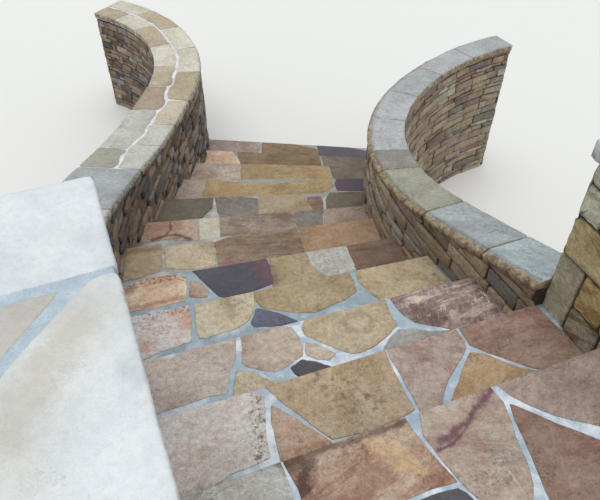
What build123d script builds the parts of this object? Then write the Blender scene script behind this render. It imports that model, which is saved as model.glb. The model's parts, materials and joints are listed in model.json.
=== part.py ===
from build123d import *
from math import cos, degrees, radians, sin
import os

# Flagstone garden steps between two curved planter walls, in millimetres.
# The ground is z = 0, uphill is +Y, and the origin is under the middle of the lowest tread.
# Left and right are as a person walking down the steps has them, so left is +X.

# Steps
rise = 150.0
tread_thickness = 50.0
nosing_overhang = 25.0
landing_depth = 1050.0
# The steps were laid by eye, so each nosing has its own turn and each tread its own going.
# Both lists run from the top nosing down. A heading of 0 faces straight down, along -Y.
nosing_headings = (21.0, 20.0, 18.5, 16.0, 13.5, 10.5, 7.0, 4.0, 0.5, -2.5, -5.0, -6.0)
goings = (340.0, 345.0, 345.0, 345.0, 380.0, 345.0, 385.0, 400.0, 410.0, 390.0, 400.0)

# Cheek walls beside the landing, with broad limestone caps
cheek_thickness = 500.0
cheek_height_over_landing = 570.0
cap_thickness = 65.0
cap_overhang = 30.0
cap_joint = 15.0
left_cheek_corner = (345.0, 3429.0)
left_cheek_heading = 22.4
left_cap_lengths = (386.0, 794.0)
right_cheek_corner = (-1168.0, 3223.0)
right_cheek_heading = 19.0
right_cap_lengths = (620.0,)

# Left planter wall: bows away from the steps, runs straight, then turns away round its nose
left_wall_thickness = 340.0
left_wall_setback = 137.0
left_start_heading = 21.8
left_bow_radius = 3820.0
left_bow_turn = 26.5
left_straight_length = 1405.0
left_nose_radius = 1945.0
left_nose_turn = 66.0
left_coping_high = 1945.0
left_coping_low = 1015.0
left_coping_fall = 3430.0
left_slab_length = 620.0

# Right planter wall: runs straight off the cheek wall, then bulges round its planter
right_wall_thickness = 180.0
right_wall_setback = -35.0
right_start_heading = 23.0
right_straight_length = 720.0
right_bulge_radius = 2145.0
right_bulge_turn = 88.0
right_coping_high = 1780.0
right_coping_low = 1210.0
right_coping_fall = 3325.0
right_slab_length = 510.0

# Copings of both planter walls
coping_thickness = 55.0
coping_overhang = 30.0
coping_joint = 12.0

# Clearances where a later piece was built against an earlier one
wall_gap = 0.3
bed_gap = 0.3

step_count = len(nosing_headings)
landing_level = rise * step_count
cheek_top = landing_level + cheek_height_over_landing
cap_underside = cheek_top - cap_thickness
# A cutting strip reaches this far each way, past both walls at the widest step
reach = 2.0 * (left_nose_radius + cheek_thickness)


def downhill(heading):
    """Unit vector that points down the steps at this heading."""
    return Vector(sin(radians(heading)), -cos(radians(heading)))


def leftward(heading):
    """Unit vector to the left of a person who walks down at this heading."""
    return Vector(cos(radians(heading)), sin(radians(heading)))


def nosing_middles():
    """Middle of each nosing from the top down, the lowest half a going from the origin."""
    points = [downhill(nosing_headings[-1]) * (goings[-1] / 2)]
    for index in reversed(range(len(goings))):
        heading = (nosing_headings[index] + nosing_headings[index + 1]) / 2
        points.append(points[-1] - downhill(heading) * goings[index])
    return points[::-1]


middles = nosing_middles()
back_heading = nosing_headings[0]
back_point = middles[0] - downhill(back_heading) * landing_depth

left_wall = {
    "side": 1,
    "cheek_corner": Vector(*left_cheek_corner),
    "setback": left_wall_setback,
    "heading": left_start_heading,
    "cheek_heading": left_cheek_heading,
    "legs": [
        (radians(left_bow_turn) * left_bow_radius, -left_bow_radius),
        (left_straight_length, 0),
        (radians(left_nose_turn) * left_nose_radius, left_nose_radius),
    ],
    "thickness": left_wall_thickness,
    "high": left_coping_high,
    "low": left_coping_low,
    "fall": left_coping_fall,
    "slab_length": left_slab_length,
}
right_wall = {
    "side": -1,
    "cheek_corner": Vector(*right_cheek_corner),
    "setback": right_wall_setback,
    "heading": right_start_heading,
    "cheek_heading": right_cheek_heading,
    "legs": [
        (right_straight_length, 0),
        (radians(right_bulge_turn) / 2 * right_bulge_radius, -right_bulge_radius),
        (radians(right_bulge_turn) / 2 * right_bulge_radius, -right_bulge_radius),
    ],
    "thickness": right_wall_thickness,
    "high": right_coping_high,
    "low": right_coping_low,
    "fall": right_coping_fall,
    "slab_length": right_slab_length,
}


def station(wall, distance, offset=0.0):
    """Point beside a wall's inner face, at a distance along it and an offset into the wall."""
    into_wall = leftward(wall["cheek_heading"]) * wall["side"]
    point = wall["cheek_corner"] + into_wall * wall["setback"]
    heading = wall["heading"]
    for length, radius in wall["legs"]:
        part = min(distance, length)
        if radius:
            turned = heading + degrees(part / radius)
            point = point + (leftward(heading) - leftward(turned)) * radius
            heading = turned
        else:
            point = point + downhill(heading) * part
        distance -= part
        if distance <= 0:
            break
    return point + leftward(heading) * (wall["side"] * offset)


def face_edge(wall, start, end, offset, curved):
    """One edge along a wall at an offset from its inner face, for the open BuildLine."""
    first, last = station(wall, start, offset), station(wall, end, offset)
    if curved:
        return ThreePointArc(first, station(wall, (start + end) / 2, offset), last)
    return Line(first, last)


def coping_top(wall, distance):
    """Height of the coping's top: it falls along the wall and eases out to level."""
    left_to_fall = max(0.0, 1 - distance / wall["fall"])
    return wall["low"] + (wall["high"] - wall["low"]) * left_to_fall**2


def top_plane(wall, start, end, drop):
    """Plane of one coping slab's top, level across the wall, lowered by a drop."""
    middle = wall["thickness"] / 2
    first, last = station(wall, start, middle), station(wall, end, middle)
    low_end = Vector(last.X, last.Y, coping_top(wall, end) - drop)
    high_end = Vector(first.X, first.Y, coping_top(wall, start) - drop)
    along = low_end - high_end
    across = Vector(-along.Y, along.X, 0)
    return Plane(origin=high_end, x_dir=along, z_dir=along.cross(across))


def cheek_plane(wall):
    """Upright plane that a planter wall stops at, against its cheek wall."""
    heading = wall["cheek_heading"]
    origin = wall["cheek_corner"] + downhill(heading) * wall_gap
    return Plane(origin=origin, x_dir=leftward(heading), z_dir=downhill(heading))


def wall_prism(wall, span, trim, near, far, drop):
    """Upright prism of a wall from the ground to its slab's plane, less a drop.

    A trim shortens both ends. The first prism starts inside the cheek wall instead,
    and is cut off square at that wall's face.
    """
    start, end, curved = span
    top = top_plane(wall, start, end, drop)
    start = start + trim if start > 0 else -wall["thickness"] / 2
    end = end - trim
    with BuildPart() as prism:
        with BuildSketch():
            with BuildLine():
                inner = face_edge(wall, start, end, near, curved)
                outer = face_edge(wall, start, end, far, curved)
                Line(inner @ 0, outer @ 0)
                Line(inner @ 1, outer @ 1)
            make_face()
        extrude(amount=cheek_top)
        split(bisect_by=top, keep=Keep.BOTTOM)
        split(bisect_by=cheek_plane(wall), keep=Keep.TOP)
    return prism.part


def slab_spans(wall):
    """For each leg of a wall, the start and end of every coping slab and whether it curves."""
    spans, leg_start = [], 0.0
    for length, radius in wall["legs"]:
        count = max(1, round(length / wall["slab_length"]))
        joints = [leg_start + length * index / count for index in range(count + 1)]
        spans.append([(a, b, bool(radius)) for a, b in zip(joints, joints[1:])])
        leg_start += length
    return spans


def make_wall_leg(wall, spans):
    """Wall below the slabs of one leg, as one solid with a facet under each slab."""
    drop = coping_thickness + bed_gap
    prisms = [wall_prism(wall, span, 0.0, 0.0, wall["thickness"], drop) for span in spans]
    with BuildPart() as leg:
        add(prisms)
    return leg.part


def make_coping_leg(wall, spans):
    """Coping slabs of one leg, side by side with open joints."""
    near, far = -coping_overhang, wall["thickness"] + coping_overhang
    slabs = []
    for span in spans:
        block = wall_prism(wall, span, coping_joint / 2, near, far, 0.0)
        underside = top_plane(wall, span[0], span[1], coping_thickness)
        with BuildPart() as slab:
            add(block)
            split(bisect_by=underside, keep=Keep.TOP)
        slabs.append(slab.part)
    with BuildPart() as leg:
        add(slabs)
    return leg.part


def back_end(point, heading):
    """Where a line that runs uphill from a point meets the back of the landing."""
    facing = downhill(back_heading)
    distance = (point - back_point).dot(facing) / downhill(heading).dot(facing)
    return point - downhill(heading) * distance


def strip_corners(front, front_heading, back, back_heading_):
    """Corners of the strip between two lines across the steps, past both walls."""
    return [
        front + leftward(front_heading) * reach,
        front - leftward(front_heading) * reach,
        back - leftward(back_heading_) * reach,
        back + leftward(back_heading_) * reach,
    ]


def corridor_sketch(plane):
    """Plan of the space between the two walls, on a plane, clear of their faces."""
    with BuildSketch(plane) as corridor:
        with BuildLine():
            ends = []
            for wall in (left_wall, right_wall):
                heading = wall["cheek_heading"]
                clear_of_face = leftward(heading) * (wall["side"] * wall_gap)
                corner = wall["cheek_corner"] - clear_of_face + downhill(heading) * wall_gap
                cheek_end = back_end(corner, heading)
                leg_start, leg_end = wall_gap, 0.0
                Polyline(cheek_end, corner, station(wall, leg_start, -wall_gap))
                for length, radius in wall["legs"]:
                    leg_end += length
                    face_edge(wall, leg_start, leg_end, -wall_gap, bool(radius))
                    leg_start = leg_end
                ends.append((cheek_end, station(wall, leg_end, -wall_gap)))
            Line(ends[0][0], ends[1][0])
            Line(ends[0][1], ends[1][1])
        make_face()
    return corridor.sketch


def step_piece(corners, underside, height):
    """Solid between the walls over one strip of the plan."""
    plane = Plane.XY.offset(underside)
    corridor = corridor_sketch(Plane.XY)
    with BuildPart() as piece:
        with BuildSketch(plane):
            add(corridor)
            with BuildLine():
                Polyline(*corners, close=True)
            make_face(mode=Mode.INTERSECT)
        extrude(amount=height)
    return piece.part


def riser_line(index):
    """Point and heading of the masonry face below one nosing, back from its edge."""
    heading = nosing_headings[index]
    return middles[index] - downhill(heading) * nosing_overhang, heading


def make_steps():
    """Tread slabs and the masonry under them, numbered from the lowest step up."""
    parts = {}
    for index in range(step_count):
        number = step_count - index
        level = landing_level - rise * index
        back = riser_line(index - 1) if index else (back_point, back_heading)
        underside = level - tread_thickness
        tread_strip = strip_corners(middles[index], nosing_headings[index], *back)
        block_strip = strip_corners(*riser_line(index), *back)
        tread_name = f"tread_{number:02d}" if index else "landing_slab"
        block_name = f"step_block_{number:02d}" if index else "landing_block"
        parts[tread_name] = step_piece(tread_strip, underside, tread_thickness)
        parts[block_name] = step_piece(block_strip, 0.0, underside)
    return parts


def cheek_strip(wall, near, far, front, back):
    """Plan corners of a stretch of cheek wall; a back of None runs to the landing's back."""
    heading = wall["cheek_heading"]
    outward = leftward(heading) * wall["side"]
    corners = []
    for offset in (near, far):
        corner = wall["cheek_corner"] + outward * offset
        front_corner = corner - downhill(heading) * front
        if back is None:
            back_corner = back_end(corner, heading)
        else:
            back_corner = corner - downhill(heading) * back
        corners.append((front_corner, back_corner))
    return [corners[0][0], corners[0][1], corners[1][1], corners[1][0]]


def upright_block(corners, bottom, height):
    """Upright block over a plan of straight sides."""
    with BuildPart() as block:
        with BuildSketch(Plane.XY.offset(bottom)):
            with BuildLine():
                Polyline(*corners, close=True)
            make_face()
        extrude(amount=height)
    return block.part


def make_cheek(name, wall, cap_lengths):
    """One cheek wall and its row of cap slabs, from the planter wall back."""
    parts = {}
    body = cheek_strip(wall, 0.0, cheek_thickness, 0.0, None)
    parts[f"{name}_cheek_wall"] = upright_block(body, 0.0, cap_underside)
    near, far = -cap_overhang, cheek_thickness + cap_overhang
    front = -cap_overhang
    for number, length in enumerate((*cap_lengths, None), start=1):
        back = None if length is None else front + length
        corners = cheek_strip(wall, near, far, front, back)
        parts[f"{name}_cap_{number}"] = upright_block(corners, cap_underside, cap_thickness)
        if length is not None:
            front = back + cap_joint
    return parts


def make_planter_wall(name, wall):
    """One planter wall and its coping, a node of each for every leg."""
    parts = {}
    for number, spans in enumerate(slab_spans(wall), start=1):
        parts[f"{name}_wall_{number}"] = make_wall_leg(wall, spans)
        parts[f"{name}_coping_{number}"] = make_coping_leg(wall, spans)
    return parts


pieces = make_steps()
pieces.update(make_cheek("left", left_wall, left_cap_lengths))
pieces.update(make_cheek("right", right_wall, right_cap_lengths))
pieces.update(make_planter_wall("left", left_wall))
pieces.update(make_planter_wall("right", right_wall))

os.makedirs("parts", exist_ok=True)
for name, part in pieces.items():
    part.label = name
    export_step(part, f"parts/{name}.step")
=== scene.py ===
# %% [markdown]
# # Flagstone garden steps
# The real object is a flight of garden steps: crazy paving of broken sandstone set in pale
# mortar, held between two curved planter walls of thin ledge stone with flat stone copings, and
# two square cheek walls at the top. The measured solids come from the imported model. This lesson
# lays every visible stone over them, so we start by loading that model as a fixed frame.

# %% Load the frame
import json
import bpy
import numpy as np
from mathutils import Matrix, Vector

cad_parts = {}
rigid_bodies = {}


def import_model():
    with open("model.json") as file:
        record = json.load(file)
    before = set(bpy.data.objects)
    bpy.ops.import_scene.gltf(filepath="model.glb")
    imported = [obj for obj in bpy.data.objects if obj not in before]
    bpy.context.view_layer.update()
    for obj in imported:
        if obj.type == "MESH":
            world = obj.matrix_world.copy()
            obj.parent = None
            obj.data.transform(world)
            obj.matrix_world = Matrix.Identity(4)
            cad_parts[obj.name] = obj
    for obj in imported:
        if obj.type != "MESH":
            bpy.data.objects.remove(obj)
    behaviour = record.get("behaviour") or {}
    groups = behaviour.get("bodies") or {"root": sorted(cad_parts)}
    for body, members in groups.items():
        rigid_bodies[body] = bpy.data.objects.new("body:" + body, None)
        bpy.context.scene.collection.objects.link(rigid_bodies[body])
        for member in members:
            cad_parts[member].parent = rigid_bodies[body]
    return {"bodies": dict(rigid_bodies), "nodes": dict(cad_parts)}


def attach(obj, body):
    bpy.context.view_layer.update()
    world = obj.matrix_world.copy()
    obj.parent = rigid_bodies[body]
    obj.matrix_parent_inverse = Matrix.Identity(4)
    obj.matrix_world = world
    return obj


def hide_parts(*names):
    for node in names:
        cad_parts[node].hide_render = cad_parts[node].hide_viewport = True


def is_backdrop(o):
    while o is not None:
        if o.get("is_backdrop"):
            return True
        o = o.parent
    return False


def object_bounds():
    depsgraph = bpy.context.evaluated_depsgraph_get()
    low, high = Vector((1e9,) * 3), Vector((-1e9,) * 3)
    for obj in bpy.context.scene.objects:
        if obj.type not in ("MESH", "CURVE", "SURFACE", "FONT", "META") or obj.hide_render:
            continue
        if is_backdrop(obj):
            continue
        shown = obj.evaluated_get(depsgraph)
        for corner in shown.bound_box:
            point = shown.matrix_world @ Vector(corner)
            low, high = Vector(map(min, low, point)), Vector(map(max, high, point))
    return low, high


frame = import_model()
solid_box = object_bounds()
body = sorted(frame["bodies"])[0]
print("solids:", len(frame["nodes"]), "body:", body)

# %% [markdown]
# ## The camera
# The view is from someone's eyes who stands on the landing and looks down the flight. A lens of
# 36 mm on a sensor 36 mm wide makes the focal length as long as the picture is wide, which keeps
# the sums below short. The camera hangs 1.55 m above the landing and looks 43 degrees down.

# %% Camera
EYE = np.array([-0.247, 4.751, 3.350])
LOOK_DOWN = np.radians(43)
WIDE, TALL = 600, 500
lens = bpy.data.cameras.new("eye")
lens.lens = lens.sensor_width = 36
lens.clip_start = 0.02
camera = bpy.data.objects.new("eye", lens)
bpy.context.scene.collection.objects.link(camera)
camera.location = EYE
camera.rotation_euler = (np.pi / 2 - LOOK_DOWN, 0, np.pi)
bpy.context.scene.camera = camera


def on_level(pixels, height):
    """Plan points (x, y) where the sight lines through picture points meet a level plane.
    A picture point (px, py) of the 600 x 500 view looks along right * u + down * v + ahead with
    u = (px - 300) / 600 and v = (py - 250) / 600, and is followed until z equals the height."""
    px = np.asarray(pixels, float)
    u, v = (px[..., 0] - WIDE / 2) / WIDE, (px[..., 1] - TALL / 2) / WIDE
    away = np.cos(LOOK_DOWN) - v * np.sin(LOOK_DOWN)
    fall = np.sin(LOOK_DOWN) + v * np.cos(LOOK_DOWN)
    far = (EYE[2] - height) / fall
    return np.stack([EYE[0] - u * far, EYE[1] - away * far], -1)


print("middle of the view meets the ground at", on_level([[WIDE / 2, TALL / 2]], 0).round(2))

# %% [markdown]
# ## Floor and light
# The light is that of open shade: a pale sky from all sides and one wide soft sun, almost
# overhead. Together they light a level surface with about one unit, so a colour renders
# as it is written. The floor is only a stage, of one plain pale colour.

# %% Floor, sky and sun
def srgb(*rgb):
    """The linear colour of a screen colour: ((c + 0.055) / 1.055) to the power 2.4."""
    c = np.array(rgb, float)
    return tuple(np.where(c <= 0.04045, c / 12.92, ((c + 0.055) / 1.055) ** 2.4)) + (1.0,)


SKY_STRENGTH, SUN_STRENGTH = 0.76, 1.2
HALF_FLOOR = 30
corners = [(x * HALF_FLOOR, y * HALF_FLOOR, 0) for x, y in ((-1, -1), (1, -1), (1, 1), (-1, 1))]
floor_mesh = bpy.data.meshes.new("floor")
floor_mesh.from_pydata(corners, [], [(0, 1, 2, 3)])
floor = bpy.data.objects.new("floor", floor_mesh)
bpy.context.scene.collection.objects.link(floor)
floor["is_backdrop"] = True
floor_paint = bpy.data.materials.new("floor_paint")
floor_paint.use_nodes = True
paint = floor_paint.node_tree.nodes["Principled BSDF"].inputs
paint["Base Color"].default_value = srgb(0.90, 0.90, 0.89)
paint["Roughness"].default_value = 0.9
floor_mesh.materials.append(floor_paint)

sky = bpy.data.worlds.new("open_shade")
sky.use_nodes = True
air = sky.node_tree.nodes["Background"].inputs
air["Color"].default_value = (0.93, 0.97, 1.0, 1)
air["Strength"].default_value = SKY_STRENGTH
bpy.context.scene.world = sky

sun_light = bpy.data.lights.new("soft_sun", "SUN")
sun_light.energy = SUN_STRENGTH
sun_light.angle = np.radians(60)
sun_light.color = (1.0, 0.97, 0.92)
sun = bpy.data.objects.new("soft_sun", sun_light)
bpy.context.scene.collection.objects.link(sun)
sun.rotation_euler = Vector((0.02, 0.12, 1.0)).to_track_quat("Z", "Y").to_euler()
bpy.context.scene.view_settings.view_transform = "Standard"
print("sky", SKY_STRENGTH, "and sun", round(SUN_STRENGTH / np.pi, 2), "on a level surface")

# %% [markdown]
# ## The plan of the flight
# Every step has a nosing line, known by its middle point and its heading. The two planter walls
# are chains of straights and arcs that start at a cheek wall. A plan curve could be sampled from
# the solids, but the same few numbers drawn again give exact distances along and across it.

# %% Nosings and walls
RISE = 0.150
TREAD_THICKNESS = 0.050
NOSING_OVERHANG = 0.025
NOSING_MIDDLES = np.array([
    (-557, 3801), (-438, 3483), (-324, 3157), (-222, 2828), (-134, 2494), (-55, 2122),
    (-3, 1781), (34, 1398), (50, 998), (43, 588), (17, 199), (-21, -199)]) / 1000
NOSING_HEADINGS = np.radians([21, 20, 18.5, 16, 13.5, 10.5, 7, 4, 0.5, -2.5, -5, -6])
LANDING_HEIGHT = 12 * RISE


def downhill(heading):
    """The plan direction (sin, -cos) of a heading, which is 0 straight down the flight."""
    return np.stack([np.sin(heading), -np.cos(heading)], -1)


def leftward(heading):
    """The plan direction (cos, sin), a quarter turn from downhill."""
    return np.stack([np.cos(heading), np.sin(heading)], -1)


WALLS = {
    "left": dict(side=1, corner=(0.345, 3.429), cheek=22.4, setback=0.137, start=21.8,
                 legs=((np.radians(26.5) * 3.820, -3.820), (1.405, 0), (np.radians(66) * 1.945, 1.945)),
                 thick=0.340, high=1.945, low=1.015, fall=3.430),
    "right": dict(side=-1, corner=(-1.168, 3.223), cheek=19.0, setback=-0.035, start=23.0,
                  legs=((0.720, 0), (np.radians(88) * 2.145, -2.145)),
                  thick=0.180, high=1.780, low=1.210, fall=3.325),
}
COPING = 0.055
COPING_OVERHANG = 0.030


def station(wall, along, offset):
    """Plan points at a distance along a wall's near face and an offset outwards from it.
    Each arc turns the heading by length / radius and moves by the change of the left direction
    times the radius; a straight moves downhill by its length."""
    w = WALLS[wall]
    along, offset = np.broadcast_arrays(np.asarray(along, float), np.asarray(offset, float))
    point = np.array(w["corner"]) + leftward(np.radians(w["cheek"])) * w["side"] * w["setback"]
    point = np.broadcast_to(point, along.shape + (2,)).copy()
    heading = np.full(along.shape, np.radians(w["start"]))
    done = 0.0
    for length, radius in w["legs"]:
        part = np.clip(along - done, 0, length)
        if radius:
            turned = heading + part / radius
            point += (leftward(heading) - leftward(turned)) * radius
            heading = turned
        else:
            point += downhill(heading) * part[..., None]
        done += length
    return point + leftward(heading) * (w["side"] * offset)[..., None]


def wall_length(wall):
    """All legs added up."""
    return sum(length for length, radius in WALLS[wall]["legs"])


def coping_top(wall, along):
    """Height of the coping: low + (high - low) * (1 - s / fall) squared, level after the fall."""
    w = WALLS[wall]
    share = np.maximum(0, 1 - np.asarray(along) / w["fall"])
    return w["low"] + (w["high"] - w["low"]) * share ** 2


def step_level(points):
    """Level of the step under plan points: the landing's height less a rise for each nosing
    passed."""
    passed = 0
    for middle, heading in zip(NOSING_MIDDLES, NOSING_HEADINGS):
        passed = passed + ((points - middle) @ downhill(heading) > 0)
    return LANDING_HEIGHT - RISE * passed


print("wall lengths:", {w: round(wall_length(w), 2) for w in WALLS})

# %% [markdown]
# ## One stone, many stones
# A broken flagstone is a flat pillow: a wandering outline, a worn upper edge, a riven top and
# rough split sides. It could be sculpted or cut from a cube, but a stack of rings gives the same
# form as one formula, and hundreds of stones can be worked out at once as arrays. Each ring is
# the outline drawn in towards the middle, and a point at each end closes the shell.

# %% Rings of a stone
def rounded(corners, count, passes):
    """Outline points at even steps along a closed polygon, anticlockwise, the nearest one moved
    onto each corner. Each is then averaged with its two neighbours (1, 2, 1) as often as asked,
    which rounds the corners."""
    c = np.asarray(corners, float)
    x, y = c[:, 0], c[:, 1]
    if np.sum(x * np.roll(y, -1) - np.roll(x, -1) * y) < 0:
        c = c[::-1]
    c = np.vstack([c, c[:1]])
    run = np.r_[0, np.cumsum(np.hypot(*np.diff(c, axis=0).T))]
    at = np.linspace(0, run[-1], count, endpoint=False)
    at[np.round(run[:-1] / run[-1] * count).astype(int) % count] = run[:-1]
    p = np.stack([np.interp(at, run, c[:, 0]), np.interp(at, run, c[:, 1])], -1)
    for _ in range(passes):
        p = (np.roll(p, 1, 0) + 2 * p + np.roll(p, -1, 0)) / 4
    return p


def normals(outlines):
    """Outward unit normals of anticlockwise outlines: the way from the point before to the point
    after, turned a quarter clockwise, (x, y) to (y, -x)."""
    ahead = np.roll(outlines, -1, -2) - np.roll(outlines, 1, -2)
    size = np.hypot(ahead[..., 0], ahead[..., 1])[..., None] + 1e-9
    return np.stack([ahead[..., 1], -ahead[..., 0]], -1) / size


def grown(outlines, by):
    """Outlines moved out along their own normals."""
    return outlines + normals(outlines) * by


def wandering(outlines, amount, rng):
    """Outlines whose edges wander: the sum of three waves around each stone moves points out."""
    turn = np.linspace(0, 2 * np.pi, outlines.shape[1], endpoint=False)
    move = np.zeros(outlines.shape[:2])
    for n, share in ((5, 0.5), (9, 0.3), (14, 0.2)):
        move += share * np.sin(n * turn + rng.uniform(0, 6.28, (len(outlines), 1)))
    from_middle = outlines - outlines.mean(1, keepdims=True)
    size = np.linalg.norm(from_middle, axis=-1, keepdims=True)
    return outlines + from_middle / size * move[..., None] * amount


def splitter(stones, count, rng, spread=1.0, passes=0):
    """A function split(size): a random inset for each point, up to size * spread, averaged with
    its two neighbours as often as asked, so that an edge is chipped and not serrated."""
    def split(size):
        inset = rng.uniform(0, size * spread, (stones, count))
        for _ in range(passes):
            inset = (np.roll(inset, 1, 1) + inset + np.roll(inset, -1, 1)) / 3
        return inset
    return split


def stack(outlines, rings):
    """Rings of all stones at once. Each ring is (inset, shrink, height): the outline moved in by
    the inset along its own normal, then scaled about its middle, at that height. Returns points
    (stones, rings * n + 2, 3), the last two being the closing points below and above."""
    outward = normals(outlines)
    middle = outlines.mean(1, keepdims=True)
    made = []
    for inset, shrink, height in rings:
        flat = middle + (outlines - outward * np.asarray(inset)[..., None] - middle) * shrink
        tall = np.broadcast_to(np.asarray(height, float), outlines.shape[:2])
        made.append(np.concatenate([flat, tall[..., None]], -1))
    below, above = made[0].mean(1, keepdims=True), made[-1].mean(1, keepdims=True)
    return np.concatenate(made + [below, above], 1)


def ring_faces(rings, count):
    """Quads between neighbouring rings and triangles to the closing points, facing outwards."""
    i = np.arange(count)
    j = (i + 1) % count
    quads = [np.stack([r * count + i, r * count + j, (r + 1) * count + j, (r + 1) * count + i], -1)
             for r in range(rings - 1)]
    last = (rings - 1) * count
    low, high = rings * count, rings * count + 1
    caps = [np.stack([j, i, np.full(count, low)], -1),
            np.stack([last + i, last + j, np.full(count, high)], -1)]
    return np.concatenate(quads), np.concatenate(caps)


FULL_TURN = 6.283
GOLDEN_ANGLE = 2.399


def waves(u, v, seed, size):
    """A smooth riven surface: three sine waves that cross, of lengths near the given size, with a
    phase of its own for each stone."""
    turn = seed * GOLDEN_ANGLE
    total = np.zeros_like(u)
    for n, share in ((1.0, 0.5), (1.9, 0.3), (3.3, 0.2)):
        angle = turn * n + n
        across = u * np.cos(angle) + v * np.sin(angle)
        total += share * np.sin(across * FULL_TURN * n / size + turn * 5 * n)
    return total


print("a stone of 8 rings of 40 points has", sum(len(f) for f in ring_faces(8, 40)), "faces")

# %% [markdown]
# ## From arrays to a mesh
# The rings are worked out in flat coordinates: across, along and out of the surface. A small
# function lays them on a tread, along a wall or on its face. If that function turns the space
# inside out, the faces are reversed. Colours, the rim and each stone's own grain travel with the
# points as attributes, so one finish serves every stone.

# %% Lay stones
LAYERS = {1: ("FLOAT", "value"), 3: ("FLOAT_VECTOR", "vector"), 4: ("FLOAT_COLOR", "color")}
CRISP_FINISH, CRISP_ANGLE = "ledge_stone", np.radians(28)


def make_piece(name, points, quads, tris, attributes, finish, stands_for=()):
    """One closed mesh from repeated stones: the face lists are shifted by each stone's first
    point. It rides with the solids and may stand for some of them. Ledge stone keeps sharp
    arrises where faces meet at more than the crisp angle."""
    stones, size = points.shape[:2]
    shift = (np.arange(stones) * size)[:, None, None]
    faces = [tuple(f) for f in (quads[None] + shift).reshape(-1, 4).tolist()]
    faces += [tuple(f) for f in (tris[None] + shift).reshape(-1, 3).tolist()]
    mesh = bpy.data.meshes.new(name)
    mesh.from_pydata(points.reshape(-1, 3).tolist(), [], faces)
    for key, value in attributes.items():
        kind, field = LAYERS[value.shape[-1]]
        layer = mesh.attributes.new(key, kind, "POINT")
        layer.data.foreach_set(field, value.reshape(-1).astype(np.float32))
    mesh.shade_smooth()
    if finish.name == CRISP_FINISH:
        mesh.set_sharp_from_angle(angle=CRISP_ANGLE)
    mesh.materials.append(finish)
    piece = bpy.data.objects.new(name, mesh)
    bpy.context.scene.collection.objects.link(piece)
    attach(piece, body)
    if stands_for:
        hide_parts(*stands_for)
    return piece


def lay_stones(name, outlines, profile, lay, tints, finish, seed,
               riven=0.0, wave=0.3, stands_for=()):
    """Stones from outlines (stones, n, 2), laid by lay(u, v, w), which returns x, y, z. A profile
    is a list of rings, and for each ring how much it is worn rim and how much split side. The
    riven height is added where the rim share is below one. A stone's grain is its own flat
    coordinates, turned and shifted by random amounts, so that no two show the same pattern."""
    rng = np.random.default_rng(seed)
    rings, rims, sides = profile
    stones, count = outlines.shape[:2]
    flat = stack(outlines, rings)

    def by_ring(values):
        """One value for each point, from one for each ring."""
        row = np.concatenate([np.repeat(np.array(values, float), count), [values[0], values[-1]]])
        return np.broadcast_to(row[None, :, None], (stones, flat.shape[1], 1))

    rim, side = by_ring(rims), by_ring(sides)
    own = rng.uniform(0, FULL_TURN, (stones, 1))
    flat[..., 2] += riven * waves(flat[..., 0], flat[..., 1], own, wave) * (1 - rim[..., 0])
    turn = rng.uniform(-0.5, 0.5, (stones, 1))
    grain = np.stack([flat[..., 0] * np.cos(turn) + flat[..., 1] * np.sin(turn) + own * 7,
                      flat[..., 1] * np.cos(turn) - flat[..., 0] * np.sin(turn) + own * 3,
                      flat[..., 2] + own], -1)
    probe = flat[0, 0] + 0.1 * np.array([(1, 1, 0), (1.1, 1, 0), (1, 1.1, 0), (1, 1, 0.1)])
    laid = lay(probe[:, 0], probe[:, 1], probe[:, 2])
    quads, tris = ring_faces(len(rings), count)
    if np.linalg.det(laid[1:] - laid[0]) < 0:
        quads, tris = quads[:, ::-1], tris[:, ::-1]
    first, second = (np.broadcast_to(c[:, None, :], (stones, flat.shape[1], 4)) for c in tints)
    piece = make_piece(name, lay(flat[..., 0], flat[..., 1], flat[..., 2]), quads, tris,
                       {"tint": first, "second": second, "rim": rim, "side": side, "grain": grain},
                       finish, stands_for)
    print(name, stones, "stones,", stones * (2 * len(quads) + len(tris)), "triangles")
    return piece


def node_points(node):
    """The points of a solid as an array."""
    mesh = frame["nodes"][node].data
    points = np.zeros(len(mesh.vertices) * 3)
    mesh.vertices.foreach_get("co", points)
    return points.reshape(-1, 3)


print("solids' points:", sum(len(node_points(n)) for n in frame["nodes"]))

# %% [markdown]
# ## Shader sums
# Finishes are built from nodes. Wiring them one by one is slow to read, so a small class wraps a
# socket and turns plain sums into Math nodes, and one method makes any other node.

# %% Finish helpers
class Amount:
    """A number that varies over a surface. Sums on it add Math nodes."""

    def __init__(self, tree, socket):
        self.tree, self.socket = tree, socket

    def sum(self, operation, *values):
        """A Math node on two values, each a number or an Amount."""
        node = self.tree.nodes.new("ShaderNodeMath")
        node.operation = operation
        for slot, value in zip(node.inputs, values):
            if isinstance(value, Amount):
                self.tree.links.new(value.socket, slot)
            else:
                slot.default_value = value
        return Amount(self.tree, node.outputs[0])

    def __add__(self, other):
        return self.sum("ADD", self, other)

    def __radd__(self, other):
        return self.sum("ADD", other, self)

    def __sub__(self, other):
        return self.sum("SUBTRACT", self, other)

    def __rsub__(self, other):
        return self.sum("SUBTRACT", other, self)

    def __mul__(self, other):
        return self.sum("MULTIPLY", self, other)

    def __rmul__(self, other):
        return self.sum("MULTIPLY", other, self)

    def at_least(self, other):
        """The larger of the two."""
        return self.sum("MAXIMUM", self, other)


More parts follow.
